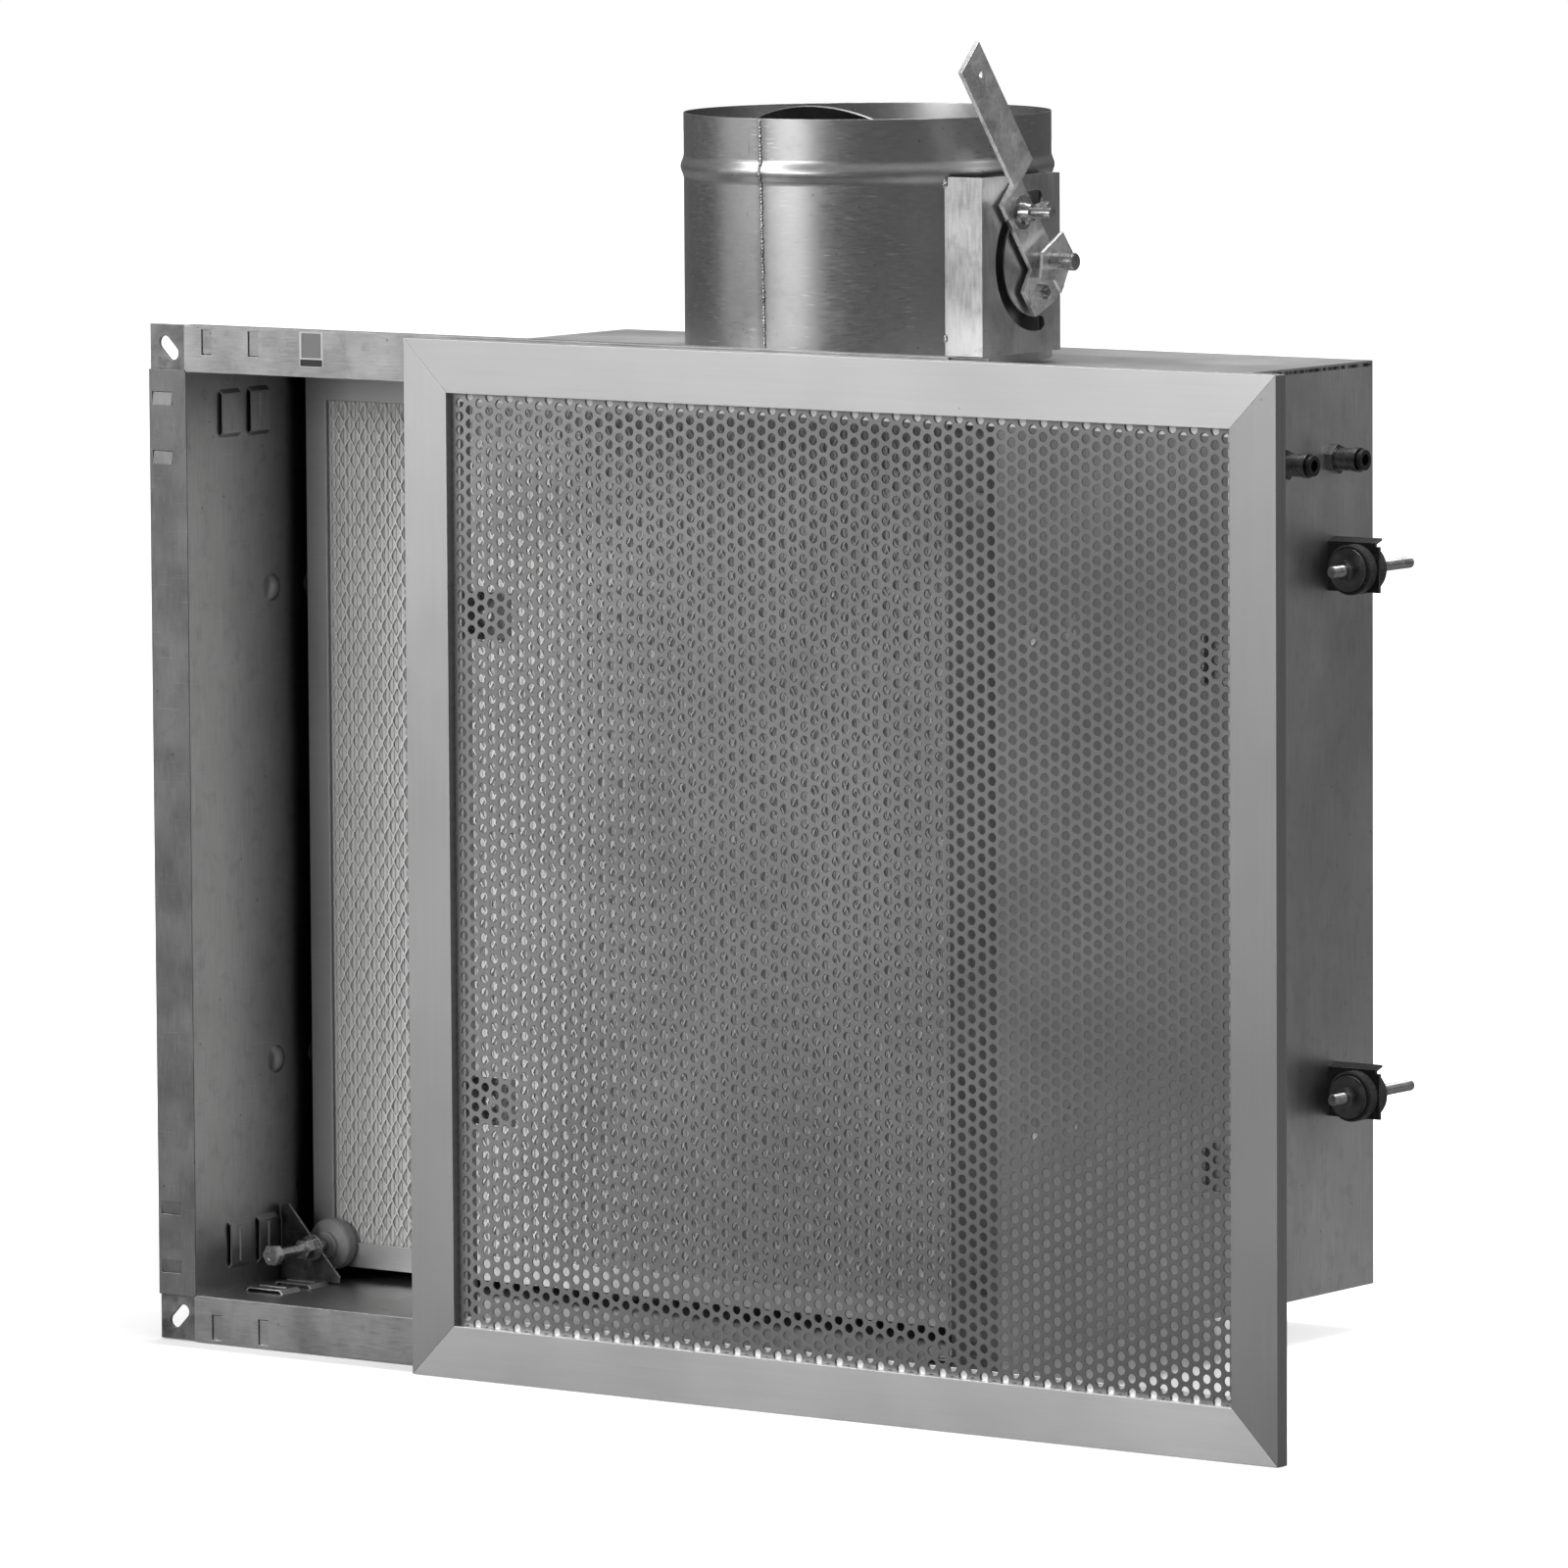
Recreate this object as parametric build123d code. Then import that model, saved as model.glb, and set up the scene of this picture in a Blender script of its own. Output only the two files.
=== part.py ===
from build123d import *
import math
import os

# Ceiling/wall filter terminal: square sheet-metal housing with a clamped panel
# filter, a plenum with a round spigot and hand damper, and a loose perforated
# diffuser cover standing in front of the opening, moved to the right.
# Frame: origin at the centre of the square opening on the front face of the
# flange.  +X right, +Y into the box, +Z up (spigot side).  Millimetres.

os.makedirs("parts", exist_ok=True)

# ---- shared dimensions ----------------------------------------------------
HALF = 690.0 / 2            # half the outer square of the flange and the cover
SHEET = 1.0                 # sheet thickness
WALL_OUT = 314.5            # outer face of the side walls, from the centre
WALL_IN = WALL_OUT - SHEET
SEAM_Y = 197.0              # where the front housing meets the plenum
DEPTH = 496.0               # back of the plenum
TOUCH = 0.02                # gap between parts that lie against each other
GAP = 0.05                  # wider gap between neighbouring parts
SHEET_EDGE = WALL_IN - TOUCH    # edge of a sheet fitted between the walls


# ---- shape helpers ----------------------------------------------------------
def block(x0, x1, y0, y1, z0, z1):
    middle = Pos((x0 + x1) / 2, (y0 + y1) / 2, (z0 + z1) / 2)
    return middle * Box(x1 - x0, y1 - y0, z1 - z0)


def along(axis, centre, middle):
    """Location that lays a Z-centred body along an axis, at centre on the other two."""
    if axis == "x":
        return Pos(middle, *centre) * Rot(0, 90, 0)
    if axis == "y":
        return Pos(centre[0], middle, centre[1]) * Rot(90, 0, 0)
    return Pos(*centre, middle)


def rod(axis, centre, radius, start, end):
    return along(axis, centre, (start + end) / 2) * Cylinder(radius, end - start)


def hexagon(axis, centre, flats, start, end, spin=0.0):
    """Hexagonal prism, given across flats, with its corners slightly rounded off."""
    length = end - start
    corner_radius = flats / math.sqrt(3)
    body = extrude(RegularPolygon(corner_radius, 6), length / 2, both=True)
    body = body & Cylinder(corner_radius * 0.965, length)
    return along(axis, centre, (start + end) / 2) * Rot(0, 0, spin) * body


def face(points):
    return make_face(Polyline(*points, close=True))


def prism_x(points, x0, x1):
    """Prism along X from (y, z) points."""
    outline = face([(0, y, z) for y, z in points])
    return Pos(x0, 0, 0) * extrude(outline, x1 - x0, dir=(1, 0, 0))


def prism_y(points, y0, y1):
    """Prism along Y from (x, z) points."""
    outline = face([(x, 0, z) for x, z in points])
    return Pos(0, y0, 0) * extrude(outline, y1 - y0, dir=(0, 1, 0))


def lathe_x(points, centre):
    """Revolve (radius, x) points about the X line through centre (y, z)."""
    outline = face([(x, radius, 0) for radius, x in points])
    return Pos(0, *centre) * revolve(outline, Axis.X)


def lathe_y(points, centre):
    """Revolve (radius, y) points about the Y line through centre (x, z)."""
    outline = face([(radius, y, 0) for radius, y in points])
    return Pos(centre[0], 0, centre[1]) * revolve(outline, Axis.Y)


def lathe_z(points, centre):
    """Revolve (radius, z) points about the Z line through centre (x, y)."""
    outline = face([(radius, 0, z) for radius, z in points])
    return Pos(*centre, 0) * revolve(outline, Axis.Z)


def mirror_x(shape):
    """The same shape on the other side of the box, left for right."""
    return mirror(shape, Plane.YZ)


def turn(shape, quarters):
    """Quarter turns about the box's Y axis: bottom, left, top, right."""
    return shape.rotate(Axis.Y, 90 * quarters)


def four_turns(shape):
    return [turn(shape, quarters) for quarters in range(4)]


def strip_square(strip, outer, inner):
    """Square of butted strips: full-length bottom and top, shorter sides between."""
    long, short = strip(outer), strip(inner)
    return [long, turn(long, 2), turn(short, 1), turn(short, -1)]


def mitre(bottom_rail, half, gap):
    """Cut the ends of a square frame's bottom rail at 45 degrees."""
    triangle = [(-half + gap, -half), (half - gap, -half), (0, -gap)]
    return bottom_rail & prism_y(triangle, -200, 400)


def save(name, *shapes):
    """Write all solids of the shapes as one named piece."""
    solids = [solid for shape in shapes for solid in shape.solids()]
    piece = solids[0] if len(solids) == 1 else Compound(children=solids)
    piece.label = name
    export_step(piece, "parts/" + name + ".step")


# ---- front housing walls ----------------------------------------------------
BOSS_Y = (90.0, 135.0)
BOSS_Z = 161.5
BOSS_R, BOSS_H = 9.5, 4.0       # rim radius and height of the domed bosses
BRIDGE_Y = (36.0, 67.0)         # front edges of the two bridges near each corner
BRIDGE_Z = 283.0
BRIDGE_W, BRIDGE_L = 20.0, 33.0


def bridge(z, y0):
    """Bridge standing off the left wall's inner face, centred at height z."""
    bottom, top = z - BRIDGE_L / 2, z + BRIDGE_L / 2
    # (height above the inner face, z)
    section = [
        (0.0, bottom), (2.9, bottom + 3), (2.9, top - 3), (0.0, top),
        (-1.0, top), (-1.0, top - 0.6), (1.9, top - 3.7),
        (1.9, bottom + 3.7), (-1.0, bottom + 0.6), (-1.0, bottom),
    ]
    y1 = y0 + BRIDGE_W
    strap = prism_y([(-WALL_IN + height, z) for height, z in section], y0, y1)
    rib = rod("z", (-WALL_IN + 2.6, y0 + BRIDGE_W / 2), 1.3, bottom + 5, top - 5)
    return strap + (rib & block(-WALL_IN + 2.5, -WALL_IN + 9, y0, y1, bottom, top))


def boss_section():
    """(radius, height above the inner face) of a domed shell one sheet thick."""
    dome = (BOSS_R ** 2 + BOSS_H ** 2) / (2 * BOSS_H)
    steps = 10

    def arc(radius, end_angle):
        angles = [end_angle * i / steps for i in range(steps + 1)]
        return [(radius * math.sin(a), BOSS_H - dome + radius * math.cos(a)) for a in angles]

    upper = arc(dome, math.asin(BOSS_R / dome))
    lower = arc(dome - SHEET, math.acos((dome - BOSS_H - SHEET) / (dome - SHEET)))
    return upper + [(BOSS_R, -SHEET)] + lower[::-1]


def housing_wall(half_height, bosses):
    """Left wall of the front housing."""
    wall = block(-WALL_OUT, -WALL_IN, SHEET + TOUCH, SEAM_Y, -half_height, half_height)
    if bosses:
        section = [(radius, -WALL_IN + height) for radius, height in boss_section()]
        for y in BOSS_Y:
            for z in (-BOSS_Z, BOSS_Z):
                wall = wall - rod("x", (y, z), BOSS_R - 0.1, -WALL_OUT - 1, -WALL_IN + 1)
                wall = wall + lathe_x(section, (y, z))
    for z in (-BRIDGE_Z, BRIDGE_Z):
        for y0 in BRIDGE_Y:
            wall = wall + bridge(z, y0)
    return wall


side_wall = housing_wall(WALL_OUT, True)
save("housing_left_wall", side_wall)
save("housing_right_wall", mirror_x(side_wall))
flat_wall = housing_wall(SHEET_EDGE, False)
save("housing_top_wall", turn(flat_wall, 1))
save("housing_bottom_wall", turn(flat_wall, -1))

# ---- flange: four folded profiles and four corner pieces --------------------
FOLD_DEPTH = 10.0               # depth of the flange's outer fold
CORNER = 30.5                   # visible square of a corner piece
LEG_DEPTH = 24.0                # depth of the inner leg, outside the wall
TAB_FROM_END = (50, 90)         # pressed tab centres from the flange corner
TAB_HALF_W = 4.5
CORNER_Y = (2.0, 4.0)           # front and back of the corner pieces
CORNER_LEG = 105.0              # reach of a corner piece's legs from the corner
SLOT_CENTRE = 16.0              # corner slot centre from both outer edges
SLOT_LENGTH, SLOT_WIDTH = 19.0, 9.5


def flange_profile():
    """Profile on the left side, with two tabs pressed in near each end."""
    span = HALF - CORNER
    outer = -HALF
    leg = -WALL_OUT - TOUCH
    lap = WALL_IN - GAP
    profile = block(outer, -WALL_OUT, 0, SHEET, -span, span)
    profile = profile + block(-WALL_OUT - 0.1, -WALL_IN, 0, SHEET, -lap, lap)
    profile = profile + block(outer, outer + SHEET, 0, FOLD_DEPTH, -span, span)
    profile = profile + block(outer, outer + 4, FOLD_DEPTH - SHEET, FOLD_DEPTH, -span, span)
    profile = profile + block(leg - SHEET, leg, 0, LEG_DEPTH, -span, span)
    x0, x1 = outer + 2.5, outer + 19.5
    for side in (-1, 1):
        for from_end in TAB_FROM_END:
            z = side * (HALF - from_end)
            z0, z1 = z - TAB_HALF_W, z + TAB_HALF_W
            profile = profile - block(x0, x1, -1, SHEET + 0.01, z0, z1)
            reach = side * TAB_HALF_W
            slope = [(0.0, z - reach), (SHEET, z - reach),
                     (SHEET + 0.9, z + reach * 0.93), (0.9, z + reach * 0.93)]
            tab = block(x0, x1, 0, 4, z0, z1) & prism_x(slope, x0, outer + 19.0)
            profile = profile + tab
    return profile


def flange_corner():
    """Slotted corner piece at the lower left, recessed behind the profile faces."""
    y0, y1 = CORNER_Y
    edge = -HALF
    low, high = edge + GAP, edge + CORNER - 0.1
    leg_low, leg_high = edge + 1.2, edge + 28.6
    leg_start, leg_end = edge + CORNER - 0.2, edge + CORNER_LEG
    piece = block(low, high, y0, y1, low, high)
    piece = piece + block(leg_low, leg_high, y0, y1, leg_start, leg_end)
    piece = piece + block(leg_start, leg_end, y0, y1, leg_low, leg_high)
    slot = extrude(SlotOverall(SLOT_LENGTH, SLOT_WIDTH), 10, both=True)
    slot_place = Pos(edge + SLOT_CENTRE, 3, edge + SLOT_CENTRE)
    return piece - slot_place * Rot(90, 0, 0) * Rot(0, 0, 45) * slot


profile = flange_profile()
for side, quarters in (("left", 0), ("top", 1), ("right", 2), ("bottom", -1)):
    save("flange_profile_" + side, turn(profile, quarters) if quarters else profile)
save("flange_corner_pieces", *four_turns(flange_corner()))

# ---- plenum -------------------------------------------------------------------
SPIGOT_R = 125.0                # spigot outer radius
SPIGOT_Y = 351.0                # spigot axis
PORT_Y, PORT_Z = (385.0, 447.0), 251.0
PLENUM_Y = SEAM_Y + GAP
REAR_LIP = 9.5                  # depth of the rear panel's folded edges

plenum_side = block(-WALL_OUT, -WALL_IN, PLENUM_Y, DEPTH, -WALL_OUT, WALL_OUT)
save("plenum_left_wall", plenum_side)
ported_side = mirror_x(plenum_side)
for y in PORT_Y:
    ported_side = ported_side - rod("x", (y, PORT_Z), 6.7, 300, 330)
save("plenum_right_wall", ported_side)

plenum_top = block(-SHEET_EDGE, SHEET_EDGE, PLENUM_Y, DEPTH, WALL_IN, WALL_OUT)
save("plenum_top_wall", plenum_top - rod("z", (0, SPIGOT_Y), SPIGOT_R + GAP, 300, 330))
save("plenum_bottom_wall",
     block(-SHEET_EDGE, SHEET_EDGE, PLENUM_Y, DEPTH, -WALL_OUT, -WALL_IN))


def rear_panel():
    edge = SHEET_EDGE
    panel = block(-edge, edge, DEPTH - SHEET, DEPTH, -edge, edge)
    for low, high in ((-edge, -edge + SHEET), (edge - SHEET, edge)):
        panel = panel + block(-edge, edge, DEPTH - REAR_LIP, DEPTH, low, high)
        panel = panel + block(low, high, DEPTH - REAR_LIP, DEPTH, -edge, edge)
    return panel


save("plenum_rear_panel", rear_panel())

# Filter seat: four folded angles just behind the gasket.
SEAT_HALF = WALL_IN - GAP
SEAT_FACE = 27.0                # height of the seat's face from the wall


def seat_angle(half_length):
    base = -SEAT_HALF
    angle = block(-half_length, half_length, 196.0, 198.0, base, base + SEAT_FACE)
    return angle + block(-half_length, half_length, 198.0, 214.0, base, base + 1.5)


save("filter_seat_angles",
     *strip_square(seat_angle, SEAT_HALF, SEAT_HALF - SEAT_FACE - GAP))

# ---- filter -------------------------------------------------------------------
FILTER = 305.0                  # half size of the filter frame
FILTER_Y0, FILTER_Y1 = 119.0, 189.0
FILTER_FACE = 17.0              # width of the frame's front and rear faces
FILTER_T = 1.5                  # frame thickness
GASKET_Y1 = 195.9
GASKET_OUT, GASKET_IN = FILTER - 1, FILTER - 16


def filter_rail():
    """Bottom rail of the filter frame, a channel open towards the middle."""
    half = FILTER
    y0, y1 = FILTER_Y0, FILTER_Y1
    rail = block(-half, half, y0, y1, -half, -half + FILTER_T)
    rail = rail + block(-half, half, y0, y0 + FILTER_T, -half, -half + FILTER_FACE)
    rail = rail + block(-half, half, y1 - FILTER_T, y1, -half, -half + FILTER_FACE)
    return mitre(rail, half, GAP)


def square_plate(half, y0, y1):
    return block(-half, half, y0, y1, -half, half)


def gasket_strip(half_length):
    return block(-half_length, half_length, FILTER_Y1 + TOUCH, GASKET_Y1,
                 -GASKET_OUT, -GASKET_IN)


save("filter_frame", *four_turns(filter_rail()))
save("filter_pleat_pack", square_plate(FILTER - 1.6, FILTER_Y0 + 5, FILTER_Y1 - 5))
save("filter_guard_front", square_plate(FILTER - 2, FILTER_Y0 + 2, FILTER_Y0 + 3.6))
save("filter_guard_rear", square_plate(FILTER - 2, FILTER_Y1 - 3.6, FILTER_Y1 - 2))
save("filter_gasket", *strip_square(gasket_strip, GASKET_OUT, GASKET_IN - GAP))

# ---- filter clamps in the two lower corners -----------------------------------
# A corner bracket hooks its two tongues under the second bridges; a bolt
# runs through its nut sleeve along Y and drives a round pad onto the frame.
# Each part is drawn for the lower left corner.
CLAMP = (-285.0, -289.5)        # (x, z) of the bolt axis
BRACKET_Y, BRACKET_T = 92.0, 1.5
CLAMP_BOLT_R = 4.0


def clamp_bracket():
    corner = -WALL_IN + 1.3
    outline = [(corner, corner), (corner, -263.5), (corner + 3, -261),
               (corner + 7, -261), (-262, -308), (-262, corner)]
    back = BRACKET_Y + BRACKET_T
    low, high = -WALL_IN + 0.15, -WALL_IN + 0.15 + BRACKET_T
    bracket = prism_y(outline, BRACKET_Y, back)
    bracket = bracket + block(low, high, 70, back, -295, -271)
    bracket = bracket + block(-295, -271, 70, back, low, high)
    return bracket - rod("y", CLAMP, 5.6, 80, 100)


def clamp_nut_sleeve():
    seat = BRACKET_Y - TOUCH
    sleeve = rod("y", CLAMP, 9.0, seat - 1.6, seat)
    sleeve = sleeve + rod("y", CLAMP, 5.5, seat - 1, BRACKET_Y + 3.0)
    sleeve = sleeve + hexagon("y", CLAMP, 12.5, seat - 12, seat - 1.5)
    return sleeve - rod("y", CLAMP, CLAMP_BOLT_R + GAP, 60, 110)


def clamp_bolt():
    bolt = rod("y", CLAMP, CLAMP_BOLT_R, 50, 112)
    bolt = bolt + hexagon("y", CLAMP, 13.0, 46.5, 52)
    bolt = bolt - rod("y", CLAMP, 3.6, 46, 47.0)
    return bolt + rod("y", CLAMP, 6.4, 51.5, 52.6)


def clamp_pad():
    bore = CLAMP_BOLT_R + GAP
    back = FILTER_Y0 - GAP
    # (radius, y)
    section = [
        (bore, 104.6), (8.5, 104.6), (9.2, 105.2), (9.4, 107.6), (16.0, 109.6),
        (17.2, 110.6), (17.6, 112.0), (17.6, back - 1.2), (17.0, back), (0, back),
        (0, 112.4), (bore, 112.4),
    ]
    return lathe_y(section, CLAMP)


for make_part in (clamp_bracket, clamp_nut_sleeve, clamp_bolt, clamp_pad):
    part = make_part()
    save(make_part.__name__ + "_left", part)
    save(make_part.__name__ + "_right", mirror_x(part))

# ---- spigot ---------------------------------------------------------------------
SPIGOT_T = 0.8
SPIGOT_TOP = 481.5
SPIGOT_AXIS = (0, SPIGOT_Y)     # (x, y)
BEAD_Z, BEAD_H, BEAD_W = 445.0, 2.2, 17.0
SHAFT_Z, SHAFT_R = 384.0, 6.0
SHAFT = (SPIGOT_Y, SHAFT_Z)     # (y, z) of the damper shaft
BUSH_R = 8.0


def spigot_tube():
    """Rolled tube with a pressed bead and an out-turned foot under the top wall."""
    bore = SPIGOT_R - SPIGOT_T
    foot_z = WALL_IN - GAP
    foot_r = SPIGOT_R + 9
    steps = 12
    bead = []                   # (rise above the tube, z)
    for i in range(steps + 1):
        part = i / steps
        rise = BEAD_H * 0.5 * (1 - math.cos(2 * math.pi * part))
        bead.append((rise, BEAD_Z - BEAD_W / 2 + BEAD_W * part))
    section = [(bore, foot_z - SHEET), (foot_r, foot_z - SHEET),
               (foot_r, foot_z), (SPIGOT_R, foot_z)]
    section += [(SPIGOT_R + rise, z) for rise, z in bead]
    section += [(SPIGOT_R, SPIGOT_TOP), (bore, SPIGOT_TOP)]
    section += [(bore + rise, z) for rise, z in reversed(bead)]
    return lathe_z(section, SPIGOT_AXIS) - rod("x", SHAFT, BUSH_R + GAP, -140, 140)


save("spigot_tube", spigot_tube())

# Shaft bushes in the tube wall, flanged on the outside; (radius, x).
bush = lathe_x([(SHAFT_R + GAP, 122.8), (BUSH_R, 122.8), (BUSH_R, 125.3),
                (11.0, 125.3), (11.0, 128.5), (SHAFT_R + GAP, 128.5)], SHAFT)
save("damper_bushes", bush, mirror_x(bush))

# ---- damper quadrant ------------------------------------------------------------
QUAD_X0, QUAD_X1 = 137.5, 139.0
QUAD_Y0, QUAD_Y1 = 288.0, 379.5
QUAD_Z0, QUAD_Z1 = 322.3, 442.2
QUAD_T = QUAD_X1 - QUAD_X0
ARC_R, ARC_HALF_W = 42.5, 5.0   # arc slot about the shaft
ARC_START, ARC_END = -4.0, 187.0


def around_shaft(angle, radius):
    """(y, z) about the shaft; degrees from straight up towards the front."""
    a = math.radians(angle)
    return (SPIGOT_Y - radius * math.sin(a), SHAFT_Z + radius * math.cos(a))


def arc_slot():
    steps = 48
    sweep = ARC_END - ARC_START
    x0, x1 = QUAD_X0 - 2, QUAD_X1 + 2
    outline = [around_shaft(ARC_START + sweep * i / steps, ARC_R + ARC_HALF_W)
               for i in range(steps + 1)]
    outline += [around_shaft(ARC_END - sweep * i / steps, ARC_R - ARC_HALF_W)
                for i in range(steps + 1)]
    slot = prism_x(outline, x0, x1)
    for angle in (ARC_START, ARC_END):
        slot = slot + rod("x", around_shaft(angle, ARC_R), ARC_HALF_W, x0, x1)
    return slot


def damper_quadrant():
    """Plate with an arc slot and folded legs, front and rear, to the tube."""
    quadrant = block(QUAD_X0, QUAD_X1, QUAD_Y0, QUAD_Y1, QUAD_Z0, QUAD_Z1)
    for y in (QUAD_Y0, QUAD_Y1 - QUAD_T):
        tube_x = math.sqrt((SPIGOT_R + 0.3) ** 2 - (y - SPIGOT_Y) ** 2)
        quadrant = quadrant + block(tube_x, QUAD_X1, y, y + QUAD_T, QUAD_Z0, QUAD_Z1)
    top = QUAD_Z1 + 5
    quadrant = quadrant - rod("z", SPIGOT_AXIS, SPIGOT_R + 0.15, QUAD_Z0 - 5, top)
    # Clear the bead, on the tube side of the plate only.
    bead_room = rod("z", SPIGOT_AXIS, SPIGOT_R + BEAD_H + 0.3, BEAD_Z - BEAD_W / 2 - 0.5, top)
    quadrant = quadrant - (bead_room & block(90, 136, 280, 390, 400, 450))
    quadrant = quadrant - rod("x", SHAFT, 7.0, 130, 145)
    return quadrant - arc_slot()


save("damper_quadrant", damper_quadrant())

# ---- damper shaft, blade and blade bolts ------------------------------------------
BLADE_R, BLADE_T = 121.5, 1.5
BLADE_TILT = 28.5               # lean of the blade's top towards the front
BLADE_Y = -SHAFT_R - GAP        # blade face against the shaft, before tilting
BLADE_BOLT_X = (-80, 0, 80)
SHAFT_END = 171.5


def lean(shape, angle, centre=SHAFT):
    """Tilt an upright shape about X and move it to centre (y, z)."""
    return Pos(0, *centre) * shape.rotate(Axis.X, angle)


def blade_bolt(x):
    bolt = rod("y", (x, 0), 2.5, -9.5, 7.5)
    bolt = bolt + rod("y", (x, 0), 4.6, -9.9, BLADE_Y - BLADE_T)
    bolt = bolt + hexagon("y", (x, 0), 8.0, SHAFT_R + GAP, 9.5)
    return lean(bolt, BLADE_TILT)


shaft = rod("x", SHAFT, SHAFT_R, -134, SHAFT_END)
shaft = shaft - rod("x", SHAFT, SHAFT_R + 3, SHAFT_END - 0.8, 175)
shaft = shaft + rod("x", SHAFT, SHAFT_R - 0.7, SHAFT_END - 1, SHAFT_END)
blade = lean(rod("y", (0, 0), BLADE_R, BLADE_Y - BLADE_T, BLADE_Y), BLADE_TILT)
for x in BLADE_BOLT_X:
    hole = lean(rod("y", (x, 0), 2.55, -20, 20), BLADE_TILT)
    shaft = shaft - hole
    blade = blade - hole
save("damper_shaft", shaft)
save("damper_blade", blade)
save("damper_blade_bolts", *[blade_bolt(x) for x in BLADE_BOLT_X])

# ---- damper lever -------------------------------------------------------------------
LEVER_LEAN = 37.5               # lean towards the front
LEVER_W, LEVER_T = 28.0, 3.0
LEVER_HALF = LEVER_W / 2
LOWER_X = 142.0                 # inner face of the lever's lower part
UPPER_X = 159.0                 # inner face of the lever's upper part
LOWER_OUT, UPPER_OUT = LOWER_X + LEVER_T, UPPER_X + LEVER_T
WING_BOLT_R = 4.0
CLAMP_SCREW = (SPIGOT_Y - 8.3, SHAFT_Z - 20.4)      # (y, z) of the lever clamp bolt

# Lower part, with an ear for the clamp bolt; (along the lever, across to the rear).
LOWER_OUTLINE = [
    (-24, -30), (-30, -8), (-30, 8), (-20, LEVER_HALF), (60.5, LEVER_HALF),
    (57.5, -LEVER_HALF), (4, -LEVER_HALF), (-2, -30),
]
# Joggle and upper part, seen edge on; (x, along the lever).
UPPER_SECTION = [
    (LOWER_X, 58.0), (LOWER_X, 60.5), (UPPER_X, 79.5), (UPPER_X, 181.0),
    (UPPER_OUT, 181.0), (UPPER_OUT, 78.0), (LOWER_OUT, 59.0), (LOWER_OUT, 55.0),
    (LOWER_X, 55.0),
]
# Slanted cut at the free end; (along, across).
END_CUT = [(176, -LEVER_HALF - 1), (180, LEVER_HALF + 1),
           (200, LEVER_HALF + 1), (200, -LEVER_HALF - 1)]


def on_lever(distance, across):
    """(y, z) at a distance up the lever from the shaft and across to the rear."""
    sine, cosine = math.sin(math.radians(LEVER_LEAN)), math.cos(math.radians(LEVER_LEAN))
    return (SPIGOT_Y - distance * sine + across * cosine,
            SHAFT_Z + distance * cosine + across * sine)


WING_BOLT = on_lever(ARC_R, 0)


def damper_lever():
    lower = prism_x([on_lever(*point) for point in LOWER_OUTLINE], LOWER_X, LOWER_OUT)
    upper = lean(prism_y(UPPER_SECTION, -LEVER_HALF, LEVER_HALF), LEVER_LEAN)
    end_cut = [on_lever(*point) for point in END_CUT]
    upper = upper - prism_x(end_cut, UPPER_X - 5, UPPER_X + 10)
    lever = lower + upper
    lever = lever - rod("x", SHAFT, SHAFT_R + 0.1, 135, 150)
    lever = lever - rod("x", on_lever(161, 2), 2.0, 150, 170)
    lever = lever - rod("x", WING_BOLT, WING_BOLT_R + 0.15, 135, 150)
    return lever - rod("x", CLAMP_SCREW, 3.1, 135, 150)


save("damper_lever", damper_lever())

# ---- lever clamp: foot on the lever ear, riser, and plate round the shaft -------------
FOOT_X = LOWER_OUT + GAP
CLAMP_OUT = FOOT_X + 9.0        # outer face of the plate
CLAMP_T = 2.2
# Outlines as (y, z) from the shaft.
FOOT = [(-16.4, -11), (0.3, -11), (1, -30), (-17, -29)]
RISER = [(-16.5, -13), (0, -13), (0.5, -10.8), (-15.8, -10.8)]
PLATE = [(-15.8, -13), (-13.3, 6.4), (10.4, 19.4), (23.0, 3.8), (8.5, -22.0), (1.0, -13)]


def shaft_prism(outline, x0, x1):
    return prism_x([(SPIGOT_Y + y, SHAFT_Z + z) for y, z in outline], x0, x1)


def lever_shaft_clamp():
    clamp = shaft_prism(FOOT, FOOT_X, FOOT_X + CLAMP_T)
    clamp = clamp + shaft_prism(RISER, FOOT_X, CLAMP_OUT)
    clamp = clamp + shaft_prism(PLATE, CLAMP_OUT - CLAMP_T, CLAMP_OUT)
    clamp = clamp - rod("x", SHAFT, SHAFT_R + 0.1, 135, 165)
    return clamp - rod("x", CLAMP_SCREW, 3.1, 135, 165)


save("lever_shaft_clamp", lever_shaft_clamp())
save("lever_clamp_bolt",
     rod("x", CLAMP_SCREW, 3.0, LOWER_X - 1, CLAMP_OUT + 0.5)
     + hexagon("x", CLAMP_SCREW, 10, QUAD_X1 + 0.25, LOWER_X - GAP))
save("lever_clamp_nut",
     hexagon("x", CLAMP_SCREW, 10, FOOT_X + 2.25, FOOT_X + 7.2, spin=20)
     - rod("x", CLAMP_SCREW, 3.05, 135, 165))

# ---- wing bolt through the arc slot and the lever ---------------------------------------
WASHER_T = 1.6
WING_NUT_X = FOOT_X + WASHER_T + GAP
WING_T = 2.4
# Right half of the wings: (offset from the bolt, x from the nut's inner face).
WING = [(4.6, 1.2), (8.0, 2.2), (13.6, 7.4), (14.8, 11.2), (13.4, 13.2),
        (10.4, 12.6), (7.6, 8.6), (4.6, 7.2)]


def wing_washer(radius, x0, x1):
    return (rod("x", WING_BOLT, radius, x0, x1)
            - rod("x", WING_BOLT, WING_BOLT_R + 0.1, 130, 160))


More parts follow.
